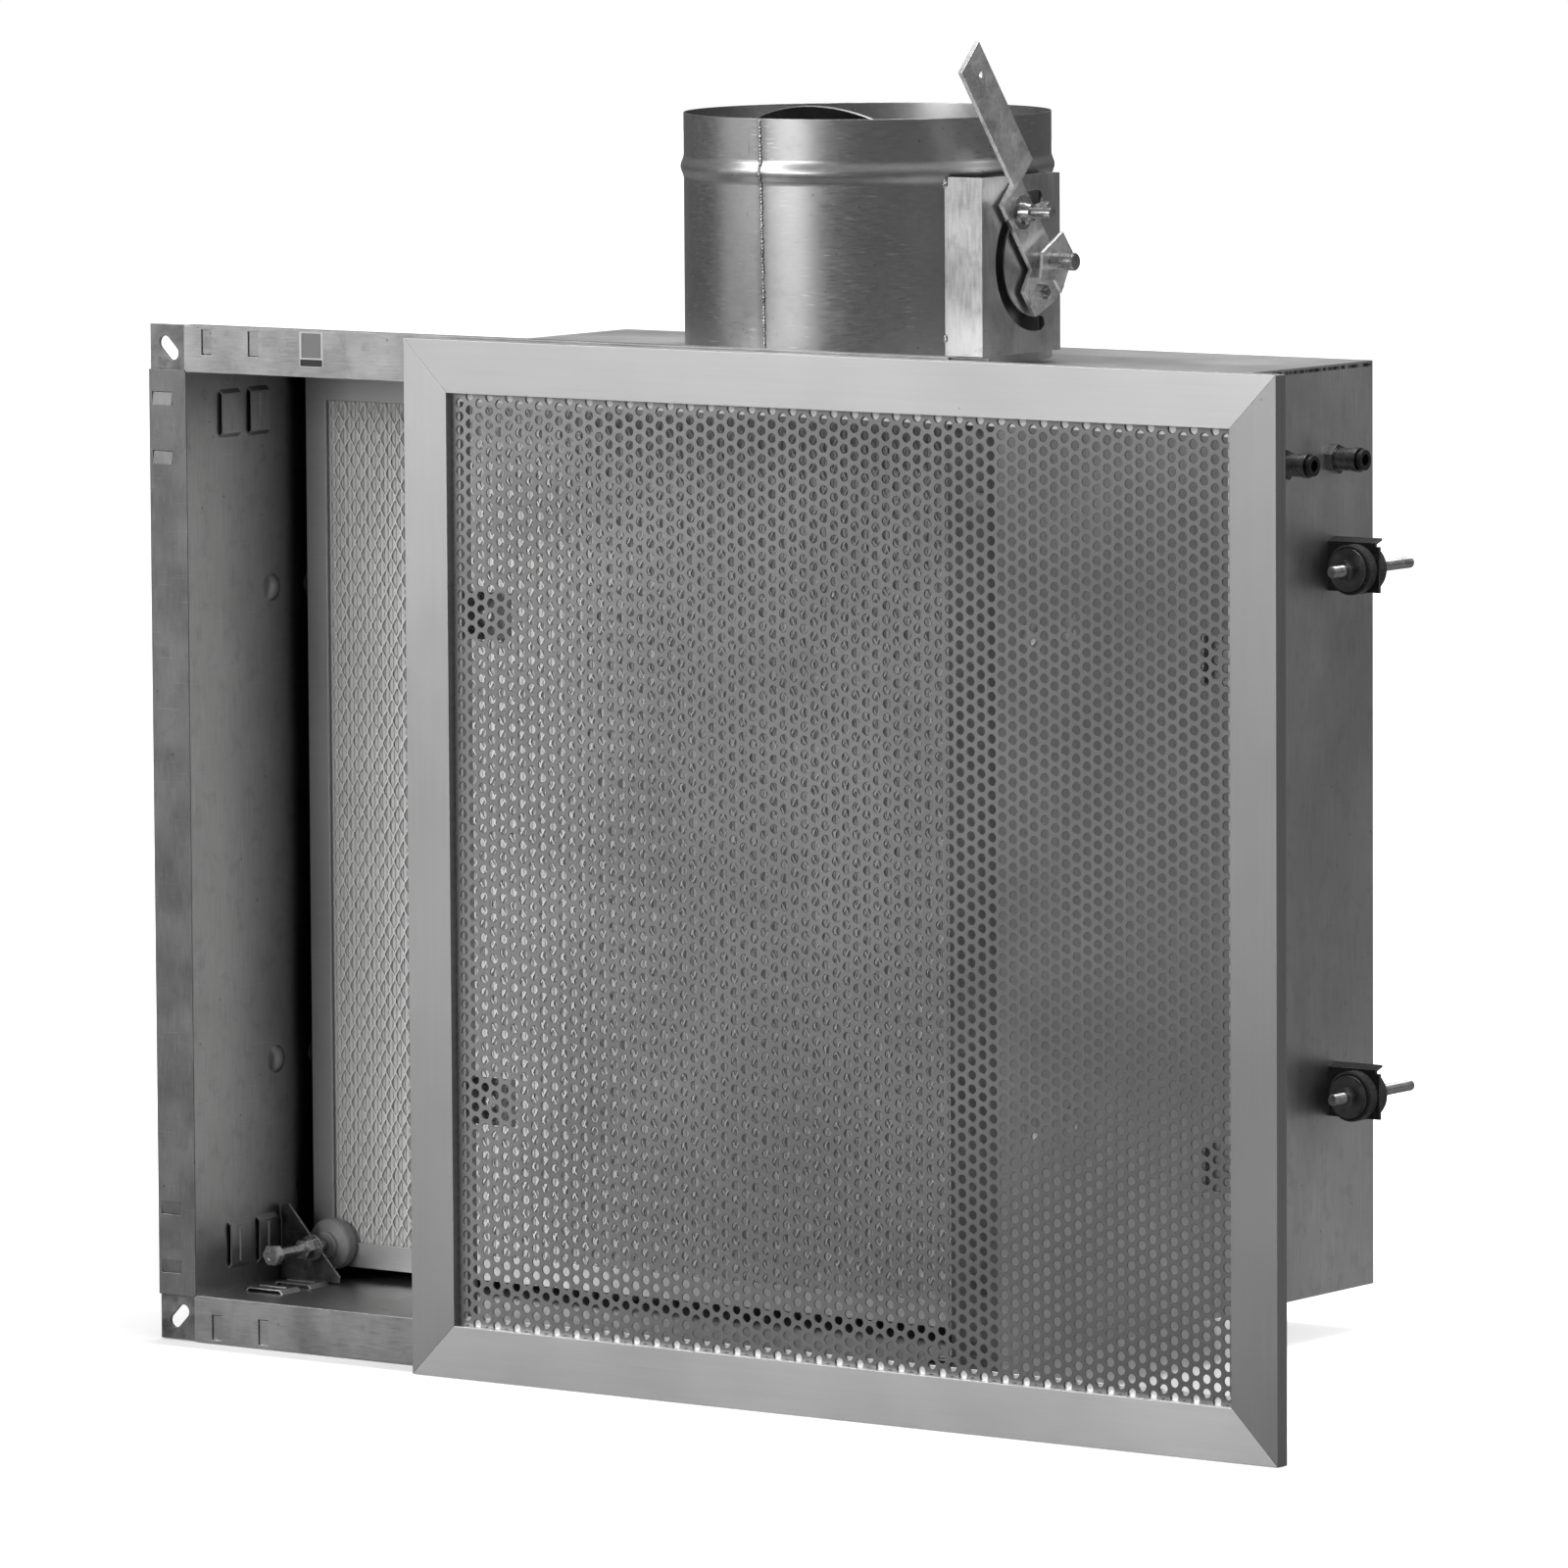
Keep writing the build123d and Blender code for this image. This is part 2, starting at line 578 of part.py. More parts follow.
def wing_bolt():
    """Bolt with a round head on the inner side of the quadrant."""
    seat = QUAD_X0 - 0.2
    # (radius, x)
    head = [(0, QUAD_X0 - 5.5), (5, QUAD_X0 - 4.8), (8.5, QUAD_X0 - 2.6), (9.0, seat), (0, seat)]
    stem = rod("x", WING_BOLT, WING_BOLT_R - GAP, QUAD_X0 - 1, 170.5)
    return stem + lathe_x(head, WING_BOLT)


def wing_nut():
    x = WING_NUT_X
    bore = WING_BOLT_R + 0.02
    nut = lathe_x([(bore, x), (7.6, x), (7.0, x + 3), (5.8, x + 8.0), (bore, x + 8.0)],
                  WING_BOLT)
    for side in (-1, 1):
        outline = face([(x + rise, side * offset, 0) for offset, rise in WING])
        wing = Pos(0, 0, -WING_T / 2) * extrude(outline, WING_T, dir=(0, 0, 1))
        nut = nut + lean(wing, 25, WING_BOLT)
    return nut - rod("x", WING_BOLT, WING_BOLT_R, 130, 175)


save("wing_bolt_washers",
     wing_washer(9.0, QUAD_X1 + 0.15, LOWER_X - GAP),
     wing_washer(11.8, FOOT_X, FOOT_X + WASHER_T))
save("wing_bolt", wing_bolt())
save("wing_nut", wing_nut())

# ---- pressure ports on the right wall -----------------------------------------------------
PORT_X = WALL_OUT + GAP
PORT_FLATS = 18.5
# (radius, start, end), lengths from PORT_X outwards.
PORT_RODS = [(7.7, 4.5, 18.5), (8.3, 18.5, 22.0), (6.5, -14, 1)]
PORT_BORES = [(5.9, 8, 30), (4.1, -3, 10), (2.5, -20, 0)]


def port_rod(y, radius, start, end):
    return rod("x", (y, PORT_Z), radius, PORT_X + start, PORT_X + end)


def port_body(y):
    body = hexagon("x", (y, PORT_Z), PORT_FLATS, PORT_X, PORT_X + 5, spin=12)
    for sizes in PORT_RODS:
        body = body + port_rod(y, *sizes)
    for sizes in PORT_BORES:
        body = body - port_rod(y, *sizes)
    return body


def port_collet(y):
    collet = port_rod(y, 5.82, 11, 24) + port_rod(y, 6.95, 23.7, 26.2)
    return collet - port_rod(y, 4.1, 0, 40)


def port_locknut(y):
    nut = hexagon("x", (y, PORT_Z), PORT_FLATS, WALL_IN - 6, WALL_IN - GAP)
    return nut - rod("x", (y, PORT_Z), 6.55, 300, 330)


save("pressure_port_bodies", *[port_body(y) for y in PORT_Y])
save("port_collet_front", port_collet(PORT_Y[0]))
save("port_collet_rear", port_collet(PORT_Y[1]))
save("port_locknuts", *[port_locknut(y) for y in PORT_Y])

# ---- hanging mounts: bracket, two rubber discs, washers, stud and nuts ----------------------
HANG_X, HANG_Y, HANG_Z = 337.5, 442.0, 178.0
STUD_Y = (410.0, 507.0)
STUD_R = 4.0                    # full radius, on the free end behind the rear nut
PITCH_R = 3.6                   # radius inside the nuts and washers
HANG_BORE = PITCH_R + 0.1
HANG_HALF_H = 15.5
# Bracket lip; (y, z) from the mount's centre.
LIP = [(-1, 15.3), (0.9, 15.3), (0.9, 17.3), (7.5, 19.4), (7.0, 20.9), (-1, 18.2)]


def both_spans(near, far):
    """Y spans in front of and behind the bracket plate, by distance from its middle."""
    return ((HANG_Y - far, HANG_Y - near), (HANG_Y + near, HANG_Y + far))


def hanger_bracket(z):
    x0, x1 = WALL_OUT + TOUCH, WALL_OUT + 41
    z0, z1 = z - HANG_HALF_H, z + HANG_HALF_H
    bracket = block(x0, x1, HANG_Y - 1, HANG_Y + 1, z0, z1)
    bracket = bracket + block(x0, x0 + 2, HANG_Y - 1, HANG_Y + 24, z0, z1)
    bracket = bracket + prism_x([(HANG_Y + dy, z + dz) for dy, dz in LIP], x0, x1 - 3)
    return [bracket - rod("y", (HANG_X, z), 5.0, 430, 450)]


def rubber_discs(z):
    return [lathe_y([(HANG_BORE, y0), (16.0, y0), (17.0, y0 + 1),
                     (17.0, y1 - 1), (16.0, y1), (HANG_BORE, y1)], (HANG_X, z))
            for y0, y1 in both_spans(1.05, 11.05)]


def hanger_washers(z):
    return [rod("y", (HANG_X, z), 14.5, y0, y1)
            - rod("y", (HANG_X, z), HANG_BORE, y0 - 1, y1 + 1)
            for y0, y1 in both_spans(11.1, 12.6)]


def hanger_stud(z):
    free = HANG_Y + 18.4
    return [rod("y", (HANG_X, z), PITCH_R, STUD_Y[0], free + 1)
            + rod("y", (HANG_X, z), STUD_R, free, STUD_Y[1])]


def hanger_nuts(z):
    return [hexagon("y", (HANG_X, z), 13.0, y0, y1, spin=15)
            - rod("y", (HANG_X, z), PITCH_R + 0.03, y0 - 1, y1 + 1)
            for y0, y1 in both_spans(12.65, 18.2)]


for name, make_parts in (
    ("brackets", hanger_bracket), ("rubber_discs", rubber_discs),
    ("washers", hanger_washers), ("studs", hanger_stud), ("nuts", hanger_nuts),
):
    right = [part for z in (HANG_Z, -HANG_Z) for part in make_parts(z)]
    save("hanger_" + name, *[copy for part in right for copy in (part, mirror_x(part))])

# ---- diffuser cover ---------------------------------------------------------------------------
# Drawn centred on the origin with its front at y = 0, then moved into place.
COVER_PLACE = Pos(240.8, -30.0, 0)
COVER_FACE, COVER_DEPTH = 35.0, 26.0
COVER_T = 1.5                   # thickness of the frame's back and the brackets
COVER_SHEET_Y = 6.0
COVER_OPENING = HALF - COVER_FACE - 0.1
# Bottom rail section; (y, z from the cover's outer edge).
RAIL_SECTION = [
    (0, 0), (7.2, 0), (7.2, 0.5), (7.8, 0.5), (7.8, 0), (11, 0), (11, 2.0), (2, 2.0),
    (2, COVER_FACE - COVER_T), (COVER_DEPTH, COVER_FACE - COVER_T),
    (COVER_DEPTH, COVER_FACE), (8.6, COVER_FACE), (8.6, COVER_FACE + 6),
    (7.2, COVER_FACE + 6), (7.2, COVER_FACE), (0, COVER_FACE),
]


def fixing_bracket(z):
    """Folded bracket inside the left rail."""
    x = -COVER_OPENING
    back = COVER_DEPTH
    z0, z1 = z - 15.7, z + 15.7
    bracket = block(x, x + 33, back - COVER_T, back, z0, z1)
    bracket = bracket + block(x, x + COVER_T, 9.2, back, z0, z1)
    bracket = bracket + block(x + 33 - COVER_T, x + 33, back - 8, back, z0, z1)
    return bracket - rod("y", (x + 13, z), 4.5, 10, 40)


cover_rail = mitre(prism_x([(y, z - HALF) for y, z in RAIL_SECTION], -HALF, HALF), HALF, 0.06)
for side, rail in zip(("bottom", "left", "top", "right"), four_turns(cover_rail)):
    save("cover_rail_" + side, COVER_PLACE * rail)

save("cover_perforated_sheet",
     COVER_PLACE * square_plate(COVER_OPENING, COVER_SHEET_Y, COVER_SHEET_Y + SHEET))

near, width_end, leg_end = -HALF + 4, -HALF + 31, -HALF + 64
cleat = (block(near, width_end, 2.05, 5.0, near, leg_end)
         + block(near, leg_end, 2.05, 5.0, near, width_end))
save("cover_corner_cleats", *[COVER_PLACE * piece for piece in four_turns(cleat)])

left_brackets = [fixing_bracket(z) for z in (-BOSS_Z, BOSS_Z)]
right_brackets = [mirror_x(bracket) for bracket in left_brackets]
save("cover_fixing_brackets",
     *[COVER_PLACE * bracket for bracket in left_brackets + right_brackets])
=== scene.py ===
import math
import random

import bmesh
import bpy
import numpy as np
from mathutils import Matrix, Vector


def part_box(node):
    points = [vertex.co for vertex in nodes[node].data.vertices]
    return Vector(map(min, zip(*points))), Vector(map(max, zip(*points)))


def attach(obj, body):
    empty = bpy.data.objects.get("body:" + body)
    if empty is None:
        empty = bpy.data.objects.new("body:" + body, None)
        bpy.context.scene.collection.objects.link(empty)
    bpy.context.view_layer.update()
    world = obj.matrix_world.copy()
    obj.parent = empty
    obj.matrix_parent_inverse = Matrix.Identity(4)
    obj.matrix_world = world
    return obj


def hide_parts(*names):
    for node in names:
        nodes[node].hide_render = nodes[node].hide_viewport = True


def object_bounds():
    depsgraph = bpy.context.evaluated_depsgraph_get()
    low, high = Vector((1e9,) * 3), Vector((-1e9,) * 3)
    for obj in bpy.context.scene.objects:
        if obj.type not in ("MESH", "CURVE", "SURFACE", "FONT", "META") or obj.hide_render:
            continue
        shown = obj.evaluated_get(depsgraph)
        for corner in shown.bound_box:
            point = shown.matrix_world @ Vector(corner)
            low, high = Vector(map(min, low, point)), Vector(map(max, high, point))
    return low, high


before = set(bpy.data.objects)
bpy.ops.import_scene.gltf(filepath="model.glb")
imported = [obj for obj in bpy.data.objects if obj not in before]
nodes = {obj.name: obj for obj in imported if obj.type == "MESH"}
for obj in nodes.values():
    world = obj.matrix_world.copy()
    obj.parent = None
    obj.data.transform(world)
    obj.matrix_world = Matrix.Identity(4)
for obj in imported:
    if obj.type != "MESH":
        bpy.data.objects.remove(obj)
cad_box = [[float(c) for c in p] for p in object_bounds()]
rng = random.Random(7)
MM = 0.001


# ---------------------------------------------------------------- node helpers
class Mat:
    """A small builder for one procedural material. Object coordinates are metres in the row frame."""

    def __init__(self, name):
        self.m = bpy.data.materials.new(name)
        self.m.use_nodes = True
        self.nt = self.m.node_tree
        self.nt.nodes.clear()
        self.out = self.n("ShaderNodeOutputMaterial")
        self.bsdf = self.n("ShaderNodeBsdfPrincipled")
        self.l(self.bsdf.outputs[0], self.out.inputs[0])
        self.co = self.n("ShaderNodeTexCoord").outputs["Object"]

    def n(self, kind, **props):
        node = self.nt.nodes.new(kind)
        for k, v in props.items():
            setattr(node, k, v)
        return node

    def l(self, a, b):
        self.nt.links.new(a, b)

    def set(self, name, v):
        s = self.bsdf.inputs[name]
        if hasattr(v, "is_linked"):
            self.l(v, s)
        else:
            s.default_value = v

    def math(self, op, a, b=None, c=None, clamp=False):
        node = self.n("ShaderNodeMath", operation=op, use_clamp=clamp)
        for i, v in enumerate((a, b, c)):
            if v is None:
                continue
            if hasattr(v, "is_linked"):
                self.l(v, node.inputs[i])
            else:
                node.inputs[i].default_value = v
        return node.outputs[0]

    def sep(self, v=None):
        node = self.n("ShaderNodeSeparateXYZ")
        self.l(v or self.co, node.inputs[0])
        return node.outputs[0], node.outputs[1], node.outputs[2]

    def comb(self, x, y, z):
        node = self.n("ShaderNodeCombineXYZ")
        for i, v in enumerate((x, y, z)):
            if hasattr(v, "is_linked"):
                self.l(v, node.inputs[i])
            else:
                node.inputs[i].default_value = v
        return node.outputs[0]

    def scaled(self, sx, sy, sz, rot=(0, 0, 0), v=None):
        node = self.n("ShaderNodeMapping")
        node.inputs["Scale"].default_value = (sx, sy, sz)
        node.inputs["Rotation"].default_value = rot
        self.l(v or self.co, node.inputs[0])
        return node.outputs[0]

    def noise(self, v, scale=1.0, detail=2.0, rough=0.5, dist=0.0):
        node = self.n("ShaderNodeTexNoise")
        node.inputs["Scale"].default_value = scale
        node.inputs["Detail"].default_value = detail
        node.inputs["Roughness"].default_value = rough
        node.inputs["Distortion"].default_value = dist
        self.l(v, node.inputs["Vector"])
        return node.outputs[0]

    def voronoi(self, v, scale=1.0, feature="F1"):
        node = self.n("ShaderNodeTexVoronoi", feature=feature)
        node.inputs["Scale"].default_value = scale
        self.l(v, node.inputs["Vector"])
        return node.outputs["Distance"]

    def remap(self, v, a, b, lo=0.0, hi=1.0, smooth=False):
        node = self.n("ShaderNodeMapRange")
        if smooth:
            node.interpolation_type = "SMOOTHSTEP"
        self.l(v, node.inputs[0])
        for i, x in enumerate((a, b, lo, hi)):
            if hasattr(x, "is_linked"):
                self.l(x, node.inputs[i + 1])
            else:
                node.inputs[i + 1].default_value = x
        return node.outputs[0]

    def ramp(self, v, stops):
        node = self.n("ShaderNodeValToRGB")
        els = node.color_ramp.elements
        while len(els) < len(stops):
            els.new(0.5)
        for e, (p, c) in zip(els, stops):
            e.position = p
            c = c if isinstance(c, tuple) else (c, c, c)
            e.color = (*c, 1)
        self.l(v, node.inputs[0])
        return node.outputs[0]

    def mix(self, f, a, b, blend="MIX"):
        node = self.n("ShaderNodeMix", data_type="RGBA", blend_type=blend)
        for i, v in ((0, f), (6, a), (7, b)):
            if hasattr(v, "is_linked"):
                self.l(v, node.inputs[i])
            else:
                node.inputs[i].default_value = v if i == 0 else ((v, v, v, 1) if not isinstance(v, tuple) else (*v, 1))
        return node.outputs[2]

    def bump(self, h, dist, strength=1.0, normal=None):
        node = self.n("ShaderNodeBump")
        node.inputs["Distance"].default_value = dist
        node.inputs["Strength"].default_value = strength
        self.l(h, node.inputs["Height"])
        if normal is not None:
            self.l(normal, node.inputs["Normal"])
        return node.outputs[0]

    def bevel(self, r, samples=3):
        node = self.n("ShaderNodeBevel", samples=samples)
        node.inputs["Radius"].default_value = r
        return node.outputs[0]

    def edge(self, bevel_out, gain=6.0):
        """0 on flats, up to 1 where the bevelled normal leaves the true one: the worn edges."""
        g = self.n("ShaderNodeNewGeometry").outputs["Normal"]
        dot = self.n("ShaderNodeVectorMath", operation="DOT_PRODUCT")
        self.l(bevel_out, dot.inputs[0])
        self.l(g, dot.inputs[1])
        return self.math("MULTIPLY", self.math("SUBTRACT", 1.0, dot.outputs["Value"]), gain, clamp=True)


def grey(v, warm=0.0):
    return (v * (1 + warm), v, v * (1 - warm))


def metal(name, base=0.5, var=0.08, rough=0.36, rvar=0.10, grain=None, grain_amt=0.25, smudge=0.25, wave=0.0, worn=0.35,
          edge_r=0.0006, spots=0.0, blotch=14.0, scratch=0.3, warm=0.0, extra=None):
    """Bare sheet or bar metal: blotchy tone, finger smudges, a brushed grain along one way, scratches and bright worn edges."""
    m = Mat(name)
    big = m.noise(m.scaled(1, 1, 1), blotch, 3, 0.5, 0.1)
    mid = m.noise(m.scaled(1, 1, 1), 70.0, 3, 0.6, 0.2)
    fine = m.noise(m.scaled(1, 1, 1), 1400.0, 2, 0.6)
    gv = m.scaled(*(grain or (300, 300, 300)))
    gr = m.noise(gv, 1.0, 3, 0.65)
    # the tone: blotches, smudges that dull it, then grain
    tone = m.remap(big, 0.25, 0.75, base - var, base + var)
    sm = m.remap(mid, 0.5, 0.72, 0.0, 1.0, smooth=True)
    tone = m.math("MULTIPLY", tone, m.remap(sm, 0, 1, 1.0, 1.0 - smudge))
    tone = m.math("MULTIPLY", tone, m.remap(gr, 0.3, 0.7, 1 - grain_amt * 0.4, 1 + grain_amt * 0.4))
    sc_v = m.scaled(35, 35, 900, rot=(0.3, 0.15, 0.2))
    sc_n = m.noise(sc_v, 1.0, 2, 0.5, 0.4)
    scr = m.remap(sc_n, 0.66, 0.72, 0.0, scratch)
    b = m.bevel(edge_r)
    e = m.edge(b)
    e = m.math("MULTIPLY", e, m.remap(mid, 0.3, 0.7, 0.5, 1.0))
    if spots:
        sp = m.remap(m.voronoi(m.co, 55.0), 0.035, 0.06, spots, 0.0, smooth=True)
        tone = m.math("MULTIPLY", tone, m.math("SUBTRACT", 1.0, sp))
    if extra:
        tone = extra(m, tone)
    tone = m.math("ADD", tone, m.math("MULTIPLY", e, worn * 0.5))
    tone = m.math("ADD", tone, m.math("MULTIPLY", scr, 0.12), clamp=True)
    col = m.comb(m.math("MULTIPLY", tone, 1 + warm), tone, m.math("MULTIPLY", tone, 1 - warm))
    m.set("Base Color", col)
    m.set("Metallic", 1.0)
    r = m.remap(big, 0.3, 0.7, rough - rvar, rough + rvar)
    r = m.math("ADD", r, m.math("MULTIPLY", sm, 0.04))
    r = m.math("ADD", r, m.remap(gr, 0.3, 0.7, -0.05, 0.05))
    r = m.math("SUBTRACT", r, m.math("MULTIPLY", e, 0.08), clamp=True)
    m.set("Roughness", r)
    n = b
    if wave:
        wv = m.noise(m.scaled(1, 1, 1), 5.5, 1.5, 0.5)
        n = m.bump(wv, wave, 1.0, n)
    n = m.bump(gr, 0.00001, 0.6, n)
    n = m.bump(fine, 0.000004, 0.6, n)
    n = m.bump(scr, 0.00003, 0.5, n)
    m.set("Normal", n)
    return m.m


def coated(name, base, rough, rvar=0.08, worn=0.0, bump=0.00005, scale=900.0, dust=0.06, spec=0.5, edge_r=0.0005, sheen=0.0):
    """Rubber, moulded plastic or paint: a fine texture, faint dust in the low places, rubbed edges."""
    m = Mat(name)
    fine = m.noise(m.scaled(1, 1, 1), scale, 3, 0.6)
    big = m.noise(m.scaled(1, 1, 1), 45.0, 4, 0.6, 0.8)
    b = m.bevel(edge_r)
    e = m.edge(b, 5.0)
    e = m.math("MULTIPLY", e, m.remap(big, 0.35, 0.65, 0.35, 1.0))
    t = m.remap(big, 0.3, 0.7, base * (1 - dust), base * (1 + dust))
    t = m.math("ADD", t, m.math("MULTIPLY", m.remap(fine, 0.55, 0.8, 0, dust), 0.3))
    t = m.math("ADD", t, m.math("MULTIPLY", e, worn), clamp=True)
    m.set("Base Color", m.comb(t, t, t))
    m.set("Roughness", m.remap(big, 0.3, 0.7, rough - rvar, rough + rvar))
    m.set("Specular IOR Level", spec)
    if worn > 0.2:
        m.set("Metallic", m.math("MULTIPLY", e, 0.8, clamp=True))
    if sheen:
        m.set("Sheen Weight", sheen)
    n = m.bump(fine, bump, 0.8, b)
    m.set("Normal", n)
    return m.m


# ---------------------------------------------------------------- materials
def painted_shade_near_filter(m, tone):
    """Painted shade: the inner faces of the side walls are darkened towards the filter, where they lose their light."""
    x, y, z = m.sep()
    nx, _, nz = m.sep(m.n("ShaderNodeNewGeometry").outputs["Normal"])
    inward = m.remap(m.math("MULTIPLY", nx, x), -0.15, -0.05, 1.0, 0.0)
    # painted shade: the tone falls from 0.92 at y = 0.035 m to 0.20 at the filter, y = 0.130 m
    painted_filter_shade = m.remap(y, 0.035, 0.130, 0.92, 0.20)
    return m.math("MULTIPLY", tone, m.mix(inward, 1.0, painted_filter_shade))


def right_panel(m, tone):
    """Large soft clouds, painted light that makes the panel lighter towards its top and bottom edges, and a dark line
    along the seam.
    """
    x, y, z = m.sep()
    c = m.noise(m.scaled(1, 2.0, 1), 7.0, 3, 0.5, 0.8)
    tone = m.math("MULTIPLY", tone, m.remap(c, 0.3, 0.7, 0.90, 1.10))
    # painted light: lighter towards the top and bottom edges, up to 1.42 times at |z| = 0.30 m
    tone = m.math("MULTIPLY", tone, m.remap(m.math("ABSOLUTE", z), 0.12, 0.30, 0.96, 1.42, smooth=True))
    # spot-welded fold under the top edge: a broken dark line
    d = m.math("ABSOLUTE", m.math("SUBTRACT", z, 0.3118))
    br = m.noise(m.comb(0.0, m.math("MULTIPLY", y, 130.0), 0.0), 1.0, 2, 0.6)
    line = m.math("MULTIPLY", m.remap(d, 0.0008, 0.0016, 1.0, 0.0), m.remap(br, 0.38, 0.55, 0.15, 0.9))
    return m.math("MULTIPLY", tone, m.math("SUBTRACT", 1.0, line))


SHEET = metal("mat_galvanised_sheet", base=0.47, var=0.05, rough=0.40, rvar=0.06, grain=(900, 900, 30), smudge=0.10, wave=0.0030, worn=0.5, spots=0.35, blotch=9.0, scratch=0.25, extra=right_panel)
# INNER and INNER_SIDE carry the painted shade towards the filter
INNER = metal("mat_inner_sheet", base=0.42, var=0.05, rough=0.36, rvar=0.06, grain=(900, 900, 30), smudge=0.12, wave=0.0022, worn=0.5, spots=0.45, blotch=10.0, scratch=0.3, extra=painted_shade_near_filter)
INNER_SIDE = metal("mat_inner_side_sheet", base=0.48, var=0.07, rough=0.36, rvar=0.06, grain=(900, 900, 30), smudge=0.12, wave=0.0022, worn=0.4, spots=0.45, blotch=10.0, scratch=0.3, extra=painted_shade_near_filter)
FLANGE = metal("mat_flange_steel", base=0.39, var=0.05, rough=0.40, rvar=0.06, grain=(60, 900, 900), smudge=0.16, wave=0.0016, worn=0.7, spots=0.4, blotch=26.0, scratch=0.35, edge_r=0.0007)
# painted shade: the left and right flange profiles are the same steel as the top and bottom ones, painted darker (0.21
# against 0.39)
FLANGE_V_SHADED = metal("mat_flange_steel_v_shaded", base=0.21, var=0.03, rough=0.40, rvar=0.06, grain=(900, 900, 60), smudge=0.16, wave=0.0016, worn=0.7, spots=0.4, blotch=26.0, scratch=0.35, edge_r=0.0007)
CORNER = metal("mat_corner_steel", base=0.20, var=0.06, rough=0.46, rvar=0.10, grain=(300, 300, 300), smudge=0.45, worn=0.6, spots=0.6, blotch=60.0, scratch=0.4)


def spigot_extra(m, tone):
    """Heat tint each side of the weld seam and horizontal scuffs where the roller marked it."""
    x, y, z = m.sep()
    a = m.math("ARCTAN2", m.math("SUBTRACT", y, 0.351), x)
    d = m.math("ABSOLUTE", m.math("SUBTRACT", a, math.radians(-89.0)))
    tint = m.remap(d, 0.006, 0.05, 0.28, 0.0, smooth=True)
    scuff_v = m.comb(m.math("MULTIPLY", a, 9.0), 0.0, m.math("MULTIPLY", z, 620.0))
    s = m.remap(m.noise(scuff_v, 1.0, 1.5, 0.5), 0.62, 0.72, 0.0, 0.22)
    gate = m.remap(m.noise(m.comb(m.math("MULTIPLY", a, 5.0), 3.0, m.math("MULTIPLY", z, 9.0)), 1.0, 1, 0.5), 0.48, 0.6, 0.0, 1.0)
    tone = m.math("ADD", tone, m.math("MULTIPLY", s, gate))
    mark = m.remap(m.noise(m.comb(m.math("MULTIPLY", a, 22.0), 9.0, m.math("MULTIPLY", z, 28.0)), 1.0, 3, 0.7, 1.5), 0.68, 0.74, 0.0, 0.35)
    tone = m.math("MULTIPLY", tone, m.math("SUBTRACT", 1.0, mark))
    return m.math("MULTIPLY", tone, m.math("SUBTRACT", 1.0, tint))


SPIGOT = metal("mat_stainless_spigot", base=0.40, var=0.04, rough=0.33, rvar=0.02, grain=(120, 120, 900), grain_amt=0.10, smudge=0.08, wave=0.0006, worn=0.5, spots=0.3, blotch=12.0, scratch=0.2, extra=spigot_extra)
QUAD = metal("mat_quadrant_steel", base=0.48, var=0.07, rough=0.38, rvar=0.07, grain=(500, 500, 60), smudge=0.22, wave=0.0008, worn=0.6, spots=0.35, blotch=30.0, scratch=0.3)
ZINC = metal("mat_zinc_hardware", base=0.46, var=0.08, rough=0.27, rvar=0.07, grain=(500, 500, 500), smudge=0.30, worn=0.5, spots=0.2, blotch=90.0, scratch=0.3, edge_r=0.0004)
LEVER = metal("mat_lever_steel", base=0.92, var=0.08, rough=0.34, rvar=0.08, grain=(500, 300, 300), smudge=0.30, worn=0.6, spots=0.5, blotch=60.0, scratch=0.4)
DARK = metal("mat_dark_steel", base=0.22, var=0.06, rough=0.40, rvar=0.08, grain=(500, 500, 500), smudge=0.35, worn=0.6, spots=0.2, blotch=90.0, scratch=0.3, edge_r=0.0004)
BLADE = metal("mat_damper_blade", base=0.22, var=0.04, rough=0.42, rvar=0.06, grain=(900, 60, 60), smudge=0.25, worn=0.9, blotch=18.0, scratch=0.3)
NICKEL = metal("mat_nickel_brass", base=0.16, var=0.04, rough=0.28, rvar=0.06, grain=(900, 200, 200), smudge=0.3, worn=0.5, blotch=150.0, scratch=0.4, edge_r=0.0004)
WELD = metal("mat_weld_bead", base=0.42, var=0.22, rough=0.26, rvar=0.10, grain=(900, 900, 900), grain_amt=0.8, smudge=0.6, worn=0.2, blotch=420.0, scratch=0.2, edge_r=0.0002)
THREAD = metal("mat_thread_steel", base=0.42, var=0.10, rough=0.34, rvar=0.08, grain=(900, 900, 900), smudge=0.4, worn=0.5, blotch=120.0, scratch=0.2, edge_r=0.00015)
CUT = metal("mat_bracket_steel", base=0.11, var=0.05, rough=0.42, rvar=0.08, grain=(300, 300, 300), smudge=0.4, worn=1.2, blotch=60.0, scratch=0.4, edge_r=0.0008)

BLACK_BRACKET = coated("mat_black_bracket", 0.018, 0.42, worn=0.55, bump=0.00006, scale=700, dust=0.25)
RUBBER = coated("mat_black_rubber", 0.020, 0.62, worn=0.03, bump=0.00010, scale=520, dust=0.35, spec=0.35, sheen=0.15)
BLACK_PLASTIC = coated("mat_black_plastic", 0.010, 0.35, worn=0.04, bump=0.00003, scale=900, dust=0.2)
GREY_PLASTIC = coated("mat_grey_plastic", 0.33, 0.48, worn=0.10, bump=0.00007, scale=420, dust=0.10)
GASKET = coated("mat_gasket_foam", 0.55, 0.8, worn=0.0, bump=0.0003, scale=420, dust=0.10, spec=0.2)


